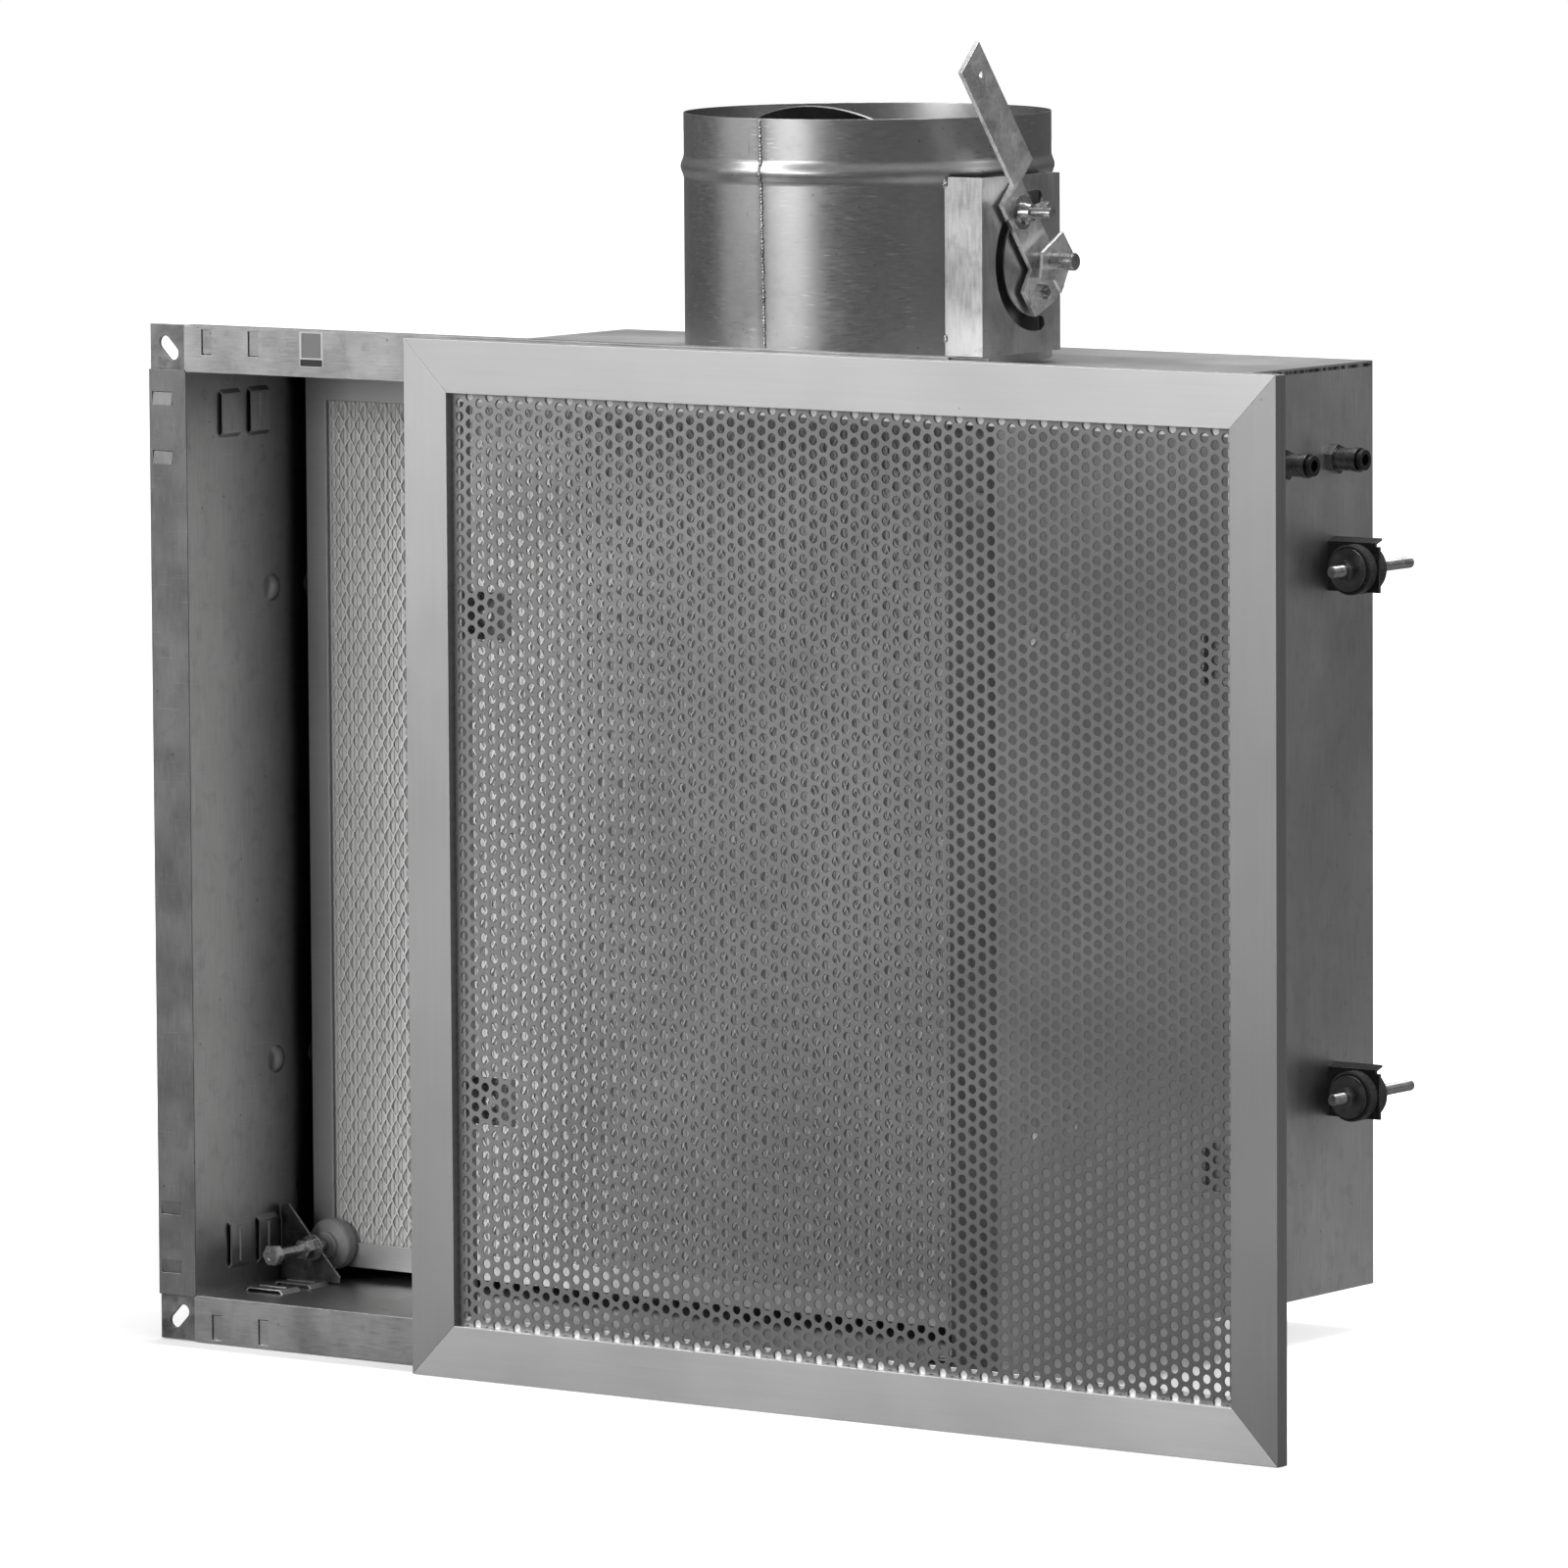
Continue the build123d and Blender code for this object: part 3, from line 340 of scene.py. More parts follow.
def aluminium(name, along, base=0.62, rough=0.42, low=1.0):
    """Fine satin anodised extrusion, brushed along its length. A low below 1 is painted shade that darkens it towards
    the bottom.
    """
    m = Mat(name)
    sc = {"x": (14, 1500, 1500), "z": (1500, 1500, 14)}[along]
    g = m.noise(m.scaled(*sc), 1.0, 3, 0.7)
    g2 = m.noise(m.scaled(*[s * 0.28 for s in sc]), 1.0, 2, 0.6)
    big = m.noise(m.scaled(1, 1, 1), 7.0, 3, 0.5, 0.4)
    b = m.bevel(0.0007, 4)
    e = m.edge(b, 5.0)
    fine = m.noise(m.scaled(1, 1, 1), 2600.0, 2, 0.5)
    t = m.remap(big, 0.3, 0.7, base * 0.97, base * 1.03)
    t = m.math("MULTIPLY", t, m.remap(g, 0.3, 0.7, 0.975, 1.025))
    t = m.math("MULTIPLY", t, m.remap(g2, 0.3, 0.7, 0.985, 1.015))
    # painted shade: darker towards the bottom, by the factor low at z = -0.30 m
    if low < 1.0:
        t = m.math("MULTIPLY", t, m.remap(m.sep()[2], -0.30, 0.30, low, 1.0))
    nick = m.remap(m.voronoi(m.co, 26.0), 0.012, 0.022, 0.18, 0.0)
    t = m.math("SUBTRACT", t, nick)
    t = m.math("ADD", t, m.math("MULTIPLY", e, 0.18), clamp=True)
    m.set("Base Color", m.comb(t, t, t))
    m.set("Metallic", 1.0)
    r = m.math("ADD", m.remap(big, 0.3, 0.7, rough - 0.03, rough + 0.03), m.remap(g, 0.3, 0.7, -0.03, 0.03))
    m.set("Roughness", r)
    n = m.bump(g, 0.000018, 0.7, b)
    n = m.bump(fine, 0.000008, 0.6, n)
    m.set("Normal", n)
    return m.m


COVER_H = aluminium("mat_cover_aluminium_h", "x", 0.50)
# painted light: the bottom rail is the same aluminium as the top rail, painted lighter (0.68 against 0.50)
COVER_B_LIT = aluminium("mat_cover_aluminium_b_lit", "x", 0.68)
# painted shade: the side rails are darkened towards the bottom
COVER_V = aluminium("mat_cover_aluminium_v", "z", 0.50, low=0.82)
# painted shade: the right rail is the same aluminium as the left rail, painted darker (0.33 against 0.50)
COVER_R_SHADED = aluminium("mat_cover_aluminium_r_shaded", "z", 0.33, low=0.84)
FRAME_AL = aluminium("mat_filter_frame_h", "x", 0.60, 0.46)
FRAME_AL_V = FRAME_AL


def perforated():
    m = Mat("mat_perforated_aluminium")
    g = m.noise(m.scaled(1400, 1400, 20), 1.0, 3, 0.65)
    big = m.noise(m.scaled(1, 1, 1), 6.0, 3, 0.5, 0.4)
    fine = m.noise(m.scaled(1, 1, 1), 1800.0, 2, 0.5)
    # painted light and shade: the tone is scaled from 1.5 at x = -0.10 m down to 0.75 at x = 0.58 m, lighter at the
    # left and darker at the right
    t = m.math("MULTIPLY", m.remap(big, 0.3, 0.7, 0.205, 0.235), m.remap(m.sep()[0], -0.10, 0.58, 1.5, 0.75))
    t = m.math("MULTIPLY", t, m.remap(g, 0.3, 0.7, 0.96, 1.04))
    # the punched walls are a little brighter than the anodised faces
    nrm = m.n("ShaderNodeNewGeometry").outputs["Normal"]
    _, ny, _ = m.sep(nrm)
    wall = m.remap(m.math("ABSOLUTE", ny), 0.2, 0.95, 0.10, 0.0)
    t = m.math("ADD", t, wall, clamp=True)
    m.set("Base Color", m.comb(t, t, t))
    m.set("Metallic", 1.0)
    m.set("Roughness", m.remap(big, 0.3, 0.7, 0.34, 0.42))
    n = m.bump(g, 0.000014, 0.7)
    n = m.bump(fine, 0.00001, 0.6, n)
    m.set("Normal", n)
    return m.m


PERF = perforated()


def white_guard():
    m = Mat("mat_guard_white")
    fine = m.noise(m.scaled(1, 1, 1), 1100.0, 3, 0.6)
    big = m.noise(m.scaled(1, 1, 1), 30.0, 3, 0.5)
    t = m.remap(big, 0.3, 0.7, 0.90, 0.95)
    t = m.math("MULTIPLY", t, m.remap(fine, 0.3, 0.7, 0.97, 1.03), clamp=True)
    m.set("Base Color", m.comb(t, t, m.math("MULTIPLY", t, 0.995)))
    m.set("Roughness", m.remap(fine, 0.3, 0.7, 0.38, 0.5))
    m.set("Normal", m.bump(fine, 0.00004, 0.7))
    return m.m


def media():
    m = Mat("mat_filter_media")
    x, y, z = m.sep()
    fib = m.noise(m.scaled(700, 700, 160), 1.0, 4, 0.7, 1.0)
    big = m.noise(m.scaled(1, 1, 1), 22.0, 3, 0.5)
    t = m.remap(big, 0.3, 0.7, 0.68, 0.73)
    t = m.math("MULTIPLY", t, m.remap(fib, 0.3, 0.7, 0.94, 1.04), clamp=True)
    m.set("Base Color", m.comb(t, t, m.math("MULTIPLY", t, 0.99)))
    m.set("Roughness", 0.92)
    m.set("Sheen Weight", 0.2)
    m.set("Specular IOR Level", 0.15)
    m.set("Normal", m.bump(fib, 0.00015, 0.8))
    return m.m


GUARD = white_guard()
MEDIA = media()

BY_NODE = {
    "housing_left_wall": INNER_SIDE, "housing_right_wall": SHEET, "housing_top_wall": INNER, "housing_bottom_wall": INNER,
    "plenum_left_wall": SHEET, "plenum_right_wall": SHEET, "plenum_top_wall": SHEET, "plenum_bottom_wall": SHEET, "plenum_rear_panel": SHEET,
    "filter_seat_angles": INNER,
    "flange_profile_top": FLANGE, "flange_profile_bottom": FLANGE, "flange_profile_left": FLANGE_V_SHADED, "flange_profile_right": FLANGE_V_SHADED,
    "flange_corner_pieces": CORNER,
    "filter_frame": FRAME_AL, "filter_pleat_pack": MEDIA, "filter_guard_front": GUARD, "filter_guard_rear": GUARD, "filter_gasket": GASKET,
    "spigot_tube": SPIGOT, "damper_bushes": ZINC, "damper_quadrant": QUAD, "damper_shaft": ZINC, "damper_blade": BLADE, "damper_blade_bolts": ZINC,
    "damper_lever": LEVER, "lever_shaft_clamp": LEVER, "lever_clamp_bolt": ZINC, "lever_clamp_nut": ZINC, "wing_bolt": ZINC, "wing_bolt_washers": ZINC, "wing_nut": ZINC,
    "pressure_port_bodies": NICKEL, "port_collet_front": BLACK_PLASTIC, "port_collet_rear": BLACK_PLASTIC, "port_locknuts": NICKEL,
    "hanger_brackets": BLACK_BRACKET, "hanger_rubber_discs": RUBBER, "hanger_washers": DARK, "hanger_studs": THREAD, "hanger_nuts": DARK,
    "cover_rail_top": COVER_H, "cover_rail_bottom": COVER_B_LIT, "cover_rail_left": COVER_V, "cover_rail_right": COVER_R_SHADED,
    "cover_perforated_sheet": PERF, "cover_corner_cleats": FRAME_AL, "cover_fixing_brackets": ZINC,
}
for s in ("left", "right"):
    BY_NODE["clamp_bracket_" + s] = CUT
    BY_NODE["clamp_nut_sleeve_" + s] = ZINC
    BY_NODE["clamp_bolt_" + s] = ZINC
    BY_NODE["clamp_pad_" + s] = GREY_PLASTIC
for name, ob in nodes.items():
    ob.data.materials.clear()
    ob.data.materials.append(BY_NODE[name])


# ---------------------------------------------------------------- mesh helpers
def add_mesh(name, verts, faces, mat, body, smooth=False, merge=0.0):
    me = bpy.data.meshes.new(name)
    me.from_pydata([tuple(v) for v in verts], [], [tuple(f) for f in faces])
    if merge:
        bm = bmesh.new()
        bm.from_mesh(me)
        bmesh.ops.remove_doubles(bm, verts=bm.verts, dist=merge)
        bmesh.ops.dissolve_degenerate(bm, edges=bm.edges, dist=merge)
        bmesh.ops.recalc_face_normals(bm, faces=bm.faces)
        bm.to_mesh(me)
        bm.free()
    me.validate()
    me.update()
    me.materials.append(mat)
    if smooth:
        me.shade_smooth()
    ob = bpy.data.objects.new(name, me)
    bpy.context.scene.collection.objects.link(ob)
    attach(ob, body)
    return ob


def smooth_by_angle(ob, deg=35.0):
    ob.data.shade_smooth()
    bm = bmesh.new()
    bm.from_mesh(ob.data)
    lim = math.radians(deg)
    for e in bm.edges:
        if len(e.link_faces) != 2 or e.calc_face_angle(0.0) > lim:
            e.smooth = False
    bm.to_mesh(ob.data)
    bm.free()


class Soup:
    """Collects closed solids into one mesh."""

    def __init__(self):
        self.v, self.f = [], []

    def add(self, v, f):
        o = len(self.v)
        self.v += [tuple(p) for p in v]
        self.f += [tuple(i + o for i in q) for q in f]

    def box(self, lo, hi):
        (a, b, c), (d, e, g) = lo, hi
        self.add([(a, b, c), (d, b, c), (d, e, c), (a, e, c), (a, b, g), (d, b, g), (d, e, g), (a, e, g)],
                 [(0, 3, 2, 1), (4, 5, 6, 7), (0, 1, 5, 4), (1, 2, 6, 5), (2, 3, 7, 6), (3, 0, 4, 7)])

    def blob(self, c, r, seed, squash=(1, 1, 1), jitter=0.18, seg=10, rings=6):
        """An uneven bead of weld metal."""
        rr = random.Random(seed)
        v, f = [], []
        for i in range(1, rings):
            th = math.pi * i / rings
            for j in range(seg):
                ph = 2 * math.pi * j / seg
                k = 1 + rr.uniform(-jitter, jitter)
                v.append((c[0] + r * k * squash[0] * math.sin(th) * math.cos(ph), c[1] + r * k * squash[1] * math.sin(th) * math.sin(ph), c[2] + r * k * squash[2] * math.cos(th)))
        top, bot = len(v), len(v) + 1
        v += [(c[0], c[1], c[2] + r * squash[2]), (c[0], c[1], c[2] - r * squash[2])]
        for i in range(rings - 2):
            for j in range(seg):
                k = (j + 1) % seg
                f.append((i * seg + j, (i + 1) * seg + j, (i + 1) * seg + k, i * seg + k))
        for j in range(seg):
            k = (j + 1) % seg
            f.append((top, j, k))
            f.append((bot, (rings - 2) * seg + k, (rings - 2) * seg + j))
        self.add(v, f)


def screw(soup, p0, p1, r_out, r_in, pitch, seg=18, chamfer=0.0):
    """A real helical thread from p0 to p1, closed by flat ends, with chamfered tips."""
    p0, p1 = Vector(p0), Vector(p1)
    ax = (p1 - p0)
    L = ax.length
    ax.normalize()
    u = ax.orthogonal().normalized()
    w = ax.cross(u)
    n = int(math.ceil(L / pitch)) + 1
    total = n * seg

    def rad(r, z):
        lim = r_out
        if chamfer:
            lim = min(lim, r_in * 0.92 + z, r_in * 0.92 + (L - z))
        return min(r, lim)

    v, f = [], []
    for k in range(-seg, total + 1):
        a = 2 * math.pi * k / seg
        for h, r in ((0.0, r_in), (0.42, r_out), (0.58, r_out)):
            z = pitch * (k / seg + h)
            z = min(max(z, 0.0), L)
            q = p0 + ax * z + (u * math.cos(a) + w * math.sin(a)) * rad(r, z)
            v.append(q)
    for k in range(total + seg):
        a, b = 3 * k, 3 * (k + 1)
        f.append((a, a + 1, b + 1, b))
        f.append((a + 1, a + 2, b + 2, b + 1))
        if k + seg <= total + seg - 1:
            c, d = 3 * (k + seg), 3 * (k + seg + 1)
            f.append((a + 2, c, d, b + 2))
    # merge what the ends clamped flat, then cap
    me = bpy.data.meshes.new("tmp_screw")
    me.from_pydata([tuple(q) for q in v], [], f)
    bm = bmesh.new()
    bm.from_mesh(me)
    bmesh.ops.remove_doubles(bm, verts=bm.verts, dist=1e-6)
    bmesh.ops.dissolve_degenerate(bm, edges=bm.edges, dist=1e-6)
    ends = [fc for fc in bm.faces if all(abs((q.co - p0).dot(ax)) < 1e-7 for q in fc.verts) or all(abs((q.co - p0).dot(ax) - L) < 1e-7 for q in fc.verts)]
    bmesh.ops.delete(bm, geom=ends, context="FACES")
    loose = [q for q in bm.verts if not q.link_faces]
    bmesh.ops.delete(bm, geom=loose, context="VERTS")
    bmesh.ops.holes_fill(bm, edges=[e for e in bm.edges if e.is_boundary], sides=0)
    bmesh.ops.recalc_face_normals(bm, faces=bm.faces)
    bm.verts.index_update()
    soup.add([q.co.copy() for q in bm.verts], [[q.index for q in fc.verts] for fc in bm.faces])
    bm.free()
    bpy.data.meshes.remove(me)


def from_soup(name, soup, mat, body, deg=35.0):
    ob = add_mesh(name, soup.v, soup.f, mat, body)
    smooth_by_angle(ob, deg)
    return ob


# ---------------------------------------------------------------- perforated sheet
PITCH_X, PITCH_Z = 8.2, 9.06          # staggered round holes


def perforated_strip(name, cols, cx, y0, y1, half, r=3.08, chamfer=0.22, seg=12):
    """One vertical strip of the sheet, closed all round. cols is its list of column numbers, counted from the middle.
    A cell is the hexagon round one hole, so neighbouring strips meet along the cells' own edges."""
    a, b = PITCH_X, PITCH_Z
    hx = (a * a + b * b / 4) / (2 * a)
    hv = (a * a - b * b / 4) / (2 * a)
    hexa = [(hx, 0), (hv, b / 2), (-hv, b / 2), (-hx, 0), (-hv, -b / 2), (hv, -b / 2)]
    ring = [(math.cos(2 * math.pi * i / seg), math.sin(2 * math.pi * i / seg)) for i in range(seg)]
    nrow = int(half / b) + 2
    centres = []
    for c in cols:
        for j in range(-nrow, nrow + 1):
            x, z = c * a, j * b + (b / 2 if c % 2 else 0)
            if abs(x) < half + hx and abs(z) < half + b / 2:
                centres.append((x, z))
    local = [(x, y0, z) for x, z in hexa] + [(x, y1, z) for x, z in hexa]
    local += [((r + chamfer) * c, y0, (r + chamfer) * s) for c, s in ring]
    local += [(r * c, y0 + chamfer, r * s) for c, s in ring]
    local += [(r * c, y1, r * s) for c, s in ring]
    R0, R1, R2 = 12, 12 + seg, 12 + 2 * seg
    tri = []
    for i in range(6):
        c, d = i, (i + 1) % 6
        p, q, s = 2 * i, 2 * i + 1, (2 * i + 2) % seg
        tri += [(c, R0 + q, R0 + p), (c, d, R0 + q), (d, R0 + s, R0 + q)]
        tri += [(6 + c, R2 + p, R2 + q), (6 + c, R2 + q, 6 + d), (6 + d, R2 + q, R2 + s)]
    quad = []
    for i in range(seg):
        k = (i + 1) % seg
        quad += [(R0 + i, R0 + k, R1 + k, R1 + i), (R1 + i, R1 + k, R2 + k, R2 + i)]
    loc = np.array(local)
    n = len(loc)
    V = (loc[None, :, :] + np.array([(x, 0, z) for x, z in centres])[:, None, :]).reshape(-1, 3)
    base = (np.arange(len(centres)) * n)[:, None, None]
    T = (np.array(tri)[None] + base).reshape(-1, 3)
    Q = (np.array(quad)[None] + base).reshape(-1, 4)
    # side walls where a cell has no neighbour in this strip
    key = {}
    for ci, (x, z) in enumerate(centres):
        for i in range(6):
            p, q = hexa[i], hexa[(i + 1) % 6]
            mid = (round((x + (p[0] + q[0]) / 2) * 50), round((z + (p[1] + q[1]) / 2) * 50))
            key.setdefault(mid, []).append((ci, i))
    sides = []
    for owners in key.values():
        if len(owners) == 1:
            ci, i = owners[0]
            o, j = ci * n, (i + 1) % 6
            sides.append((o + i, o + 6 + i, o + 6 + j, o + j))
    me = bpy.data.meshes.new(name)
    me.from_pydata((V * MM).tolist(), [], T.tolist() + Q.tolist() + sides)
    bm = bmesh.new()
    bm.from_mesh(me)
    bmesh.ops.remove_doubles(bm, verts=bm.verts, dist=1e-6)
    for no in ((1, 0, 0), (-1, 0, 0), (0, 0, 1), (0, 0, -1)):
        no = Vector(no)
        res = bmesh.ops.bisect_plane(bm, geom=bm.verts[:] + bm.edges[:] + bm.faces[:], dist=1e-7, plane_co=no * half * MM, plane_no=no, clear_outer=True)
        cut = [e for e in res["geom_cut"] if isinstance(e, bmesh.types.BMEdge) and e.is_boundary]
        if cut:
            bmesh.ops.holes_fill(bm, edges=cut, sides=0)
    bmesh.ops.recalc_face_normals(bm, faces=bm.faces)
    bmesh.ops.triangulate(bm, faces=[f for f in bm.faces if len(f.verts) > 4])
    bmesh.ops.translate(bm, vec=(cx, 0, 0), verts=bm.verts)
    bm.to_mesh(me)
    bm.free()
    me.materials.append(PERF)
    ob = bpy.data.objects.new(name, me)
    bpy.context.scene.collection.objects.link(ob)
    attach(ob, "cover")
    return ob


s_lo, s_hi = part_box("cover_perforated_sheet")
cover_x = (s_lo.x + s_hi.x) / 2
half = (s_hi.x - s_lo.x) / 2 / MM
ncol = int(half / PITCH_X) + 1
cols = list(range(-ncol, ncol + 1))
third = (len(cols) + 2) // 3
for i in range(3):
    perforated_strip("cover_sheet_strip_%d" % (i + 1), cols[i * third:(i + 1) * third], cover_x, s_lo.y / MM, s_hi.y / MM, half)
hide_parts("cover_perforated_sheet")


# ---------------------------------------------------------------- expanded-metal guards and pleats
def guard(name, y0, y1, reach, flip, node):
    """White coated expanded metal: tall diamonds, each strand leaning back to one side, closed all round."""
    w, h = 8.7 / 2, 16.0 / 2
    outer = [(w, 0.62), (0.62, h), (-0.62, h), (-w, 0.62), (-w, -0.62), (-0.62, -h), (0.62, -h), (w, -0.62)]
    hole = [(3.35, 0.9), (1.9, 3.5), (0, 6.5), (-1.9, 3.5), (-3.35, 0.9), (-3.35, -0.9), (-1.9, -3.5), (0, -6.5), (1.9, -3.5), (3.35, -0.9)]
    t = 0.55
    lean = (y1 - y0) - t

    def front(x):
        # strands lean: forward on the left of each opening, back on the right
        return y0 + lean * min(max((x / 3.35 + 1) / 2, 0), 1)

    mid_y = y0 + lean * 0.5
    cor = [(w, 0), (0, h), (-w, 0), (0, -h)]
    v = [(x, mid_y, z) for x, z in cor] + [(x, mid_y + t, z) for x, z in cor]
    v += [(x, front(x), z) for x, z in hole] + [(x, front(x) + t, z) for x, z in hole]
    F0, B0 = 8, 18
    fan = {(0, 1): [0, 1, 2], (1, 2): [2, 3, 4], (2, 3): [5, 6, 7], (3, 0): [7, 8, 9]}
    tri = []
    # each side of the diamond carries its run of hole points
    runs = [(0, 1, [0, 1, 2]), (1, 2, [2, 3, 4]), (2, 3, [5, 6, 7]), (3, 0, [7, 8, 9])]
    for c, d, run in runs:
        p, q, s = run
        tri += [(c, F0 + q, F0 + p), (c, d, F0 + q), (d, F0 + s, F0 + q)]
        tri += [(4 + c, B0 + p, B0 + q), (4 + c, B0 + q, 4 + d), (4 + d, B0 + q, B0 + s)]
    # the blunt ends of the opening, left and right
    tri += [(0, F0 + 0, F0 + 9), (4, B0 + 9, B0 + 0), (2, F0 + 5, F0 + 4), (6, B0 + 4, B0 + 5)]
    quad = [(F0 + i, F0 + (i + 1) % 10, B0 + (i + 1) % 10, B0 + i) for i in range(10)]
    nx, nz = int(reach / w), int(reach / h)
    centres = [(i * w, j * h) for i in range(-nx, nx + 1) for j in range(-nz, nz + 1) if (i + j) % 2 == 0 and abs(i * w) + w <= reach + 0.01 and abs(j * h) + h <= reach + 4]
    n = len(v)
    loc = np.array(v)
    V = (loc[None] + np.array([(x, 0, z) for x, z in centres])[:, None, :]).reshape(-1, 3)
    base = (np.arange(len(centres)) * n)[:, None, None]
    T = (np.array(tri)[None] + base).reshape(-1, 3)
    Q = (np.array(quad)[None] + base).reshape(-1, 4)
    key = {}
    for ci, (x, z) in enumerate(centres):
        for i in range(4):
            p, q = cor[i], cor[(i + 1) % 4]
            key.setdefault((round((x + (p[0] + q[0]) / 2) * 50), round((z + (p[1] + q[1]) / 2) * 50)), []).append((ci, i))
    sides = []
    for owners in key.values():
        if len(owners) == 1:
            ci, i = owners[0]
            o, j = ci * n, (i + 1) % 4
            sides.append((o + i, o + 4 + i, o + 4 + j, o + j))
    if flip:
        V[:, 1] = y0 + y1 - V[:, 1]
    me = bpy.data.meshes.new(name)
    me.from_pydata((V * MM).tolist(), [], T.tolist() + Q.tolist() + sides)
    bm = bmesh.new()
    bm.from_mesh(me)
    bmesh.ops.remove_doubles(bm, verts=bm.verts, dist=1e-6)
    bmesh.ops.recalc_face_normals(bm, faces=bm.faces)
    bm.to_mesh(me)
    bm.free()
    me.materials.append(GUARD)
    ob = bpy.data.objects.new(name, me)
    bpy.context.scene.collection.objects.link(ob)
    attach(ob, "casing")
    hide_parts(node)
    return ob


g_lo, g_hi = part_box("filter_guard_front")
guard("filter_guard_mesh_front", g_lo.y / MM, g_hi.y / MM, 287.5, False, "filter_guard_front")
r_lo, r_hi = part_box("filter_guard_rear")
guard("filter_guard_mesh_rear", r_lo.y / MM, r_hi.y / MM, 287.5, True, "filter_guard_rear")


def pleats():
    """The pleated pack as one folded sheet of paper, with round folds at the front and the back."""
    lo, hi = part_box("filter_pleat_pack")
    y0, y1, x0, x1, z0, z1 = (v / MM for v in (lo.y, hi.y, lo.x, hi.x, lo.z, hi.z))
    y0 -= 1.2
    n = 176
    p = (x1 - x0) / n
    t = 0.45
    line = []
    for i in range(n):
        c = x0 + p * i
        for u, d in ((0.03, 1.0), (0.12, 0.28), (0.28, 0.0), (0.72, 0.0), (0.88, 0.28), (0.97, 1.0)):
            line.append((c + p * u, y0 + d))
        line.append((c + p * 0.98, y1 - 3.0))
        line.append((c + p * 1.0, y1 - 0.5))
        line.append((c + p * 1.02, y1 - 3.0) if i < n - 1 else (c + p * 1.0, y1))
    line = [q for q in line if q[0] <= x1]
    # the sheet's two faces: the line, and the same line moved back by the paper's thickness
    back = [(x, min(y + t, y1)) for x, y in line]
    v, f = [], []
    m = len(line)
    for z in (z0, z1):
        v += [(x, y, z) for x, y in line] + [(x, y + t, z) for x, y in back]
    for i in range(m - 1):
        f.append((i, i + 1, 2 * m + i + 1, 2 * m + i))
        f.append((m + i, 3 * m + i, 3 * m + i + 1, m + i + 1))
        f.append((i, m + i, m + i + 1, i + 1))
        f.append((2 * m + i, 2 * m + i + 1, 3 * m + i + 1, 3 * m + i))
    f.append((0, 2 * m, 3 * m, m))
    f.append((m - 1, 2 * m - 1, 4 * m - 1, 3 * m - 1))
    ob = add_mesh("filter_pleats", [(a * MM, b * MM, c * MM) for a, b, c in v], f, MEDIA, "casing")
    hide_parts("filter_pleat_pack")
    return ob


pleats()


# ---------------------------------------------------------------- threads, welds, label
def both(name, build, mat, body, deg=35.0):
    s = Soup()
    build(s)
    return from_soup(name, s, mat, body, deg)


st_lo, st_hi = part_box("hanger_studs")
hx_, hz_ = st_hi.x - 0.004, st_hi.z - 0.004


def studs(s):
    for sx in (-1, 1):
        for sz in (-1, 1):
            screw(s, (sx * hx_, st_lo.y, sz * hz_), (sx * hx_, st_hi.y, sz * hz_), 0.00398, 0.00338, 0.00125, 14, 0.001)


studs_ob = both("hanger_studs_threaded", studs, THREAD, "casing", 50)
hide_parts("hanger_studs")

SEAM_A = [(0.3135, 271.9), (0.36, 271.5), (0.40, 271.2), (0.437, 270.8), (0.4425, 270.7), (0.4475, 270.7), (0.453, 270.6), (0.478, 270.3)]


def bead_r(z):
    d = (z - 0.445) / 0.017
    return 0.125 + (0.0022 * 0.5 * (1 + math.cos(2 * math.pi * d)) if abs(d) < 0.5 else 0.0)


def seam(s):
    z = 0.3155
    i = 0
    while z < 0.4805:
        a = math.radians(271.9 + (270.3 - 271.9) * (z - 0.3135) / 0.165 + rng.uniform(-0.12, 0.12))
        r = bead_r(z) + 0.0001
        k = rng.uniform(0.8, 1.25)
        s.blob((r * math.cos(a), 0.351 + r * math.sin(a), z), 0.00105 * k, 100 + i, squash=(1.1, 0.75, 1.35), seg=9, rings=6)
        z += rng.uniform(0.0016, 0.0026)
        i += 1


both("spigot_weld_seam", seam, WELD, "casing", 80)


def quad_tacks(s):
    """Tack welds where the quadrant's front leg meets the tube."""
    for zc in (0.4385, 0.3345):
        for i in range(7):
            z = zc + rng.uniform(-0.0035, 0.0035)
            y = q_lo.y + 0.0005 + rng.uniform(-0.0006, 0.0004)
            x = math.sqrt(max(0.1252 ** 2 - (y - 0.351) ** 2, 0)) + rng.uniform(-0.0008, 0.0012)
            s.blob((x, y, z), rng.uniform(0.0011, 0.0019), 300 + i + int(zc * 1e4), squash=(1.2, 0.8, 1.0))


q_lo, q_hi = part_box("damper_quadrant")
both("quadrant_tack_welds", quad_tacks, WELD, "casing", 80)


def rounded_plate(s, cx, cz, w, h, y0, y1, r, seg=6):
    pts = []
    for sx, sz, a0 in ((1, 1, 0), (-1, 1, 90), (-1, -1, 180), (1, -1, 270)):
        for i in range(seg + 1):
            a = math.radians(a0 + 90 * i / seg)
            pts.append((cx + sx * (w / 2 - r) + r * math.cos(a), cz + sz * (h / 2 - r) + r * math.sin(a)))
    n = len(pts)
    v = [(x, y0, z) for x, z in pts] + [(x, y1, z) for x, z in pts]
    f = [tuple(range(n)), tuple(reversed(range(n, 2 * n)))]
    f += [(i, n + i, n + (i + 1) % n, (i + 1) % n) for i in range(n)]
    s.add(v, f)


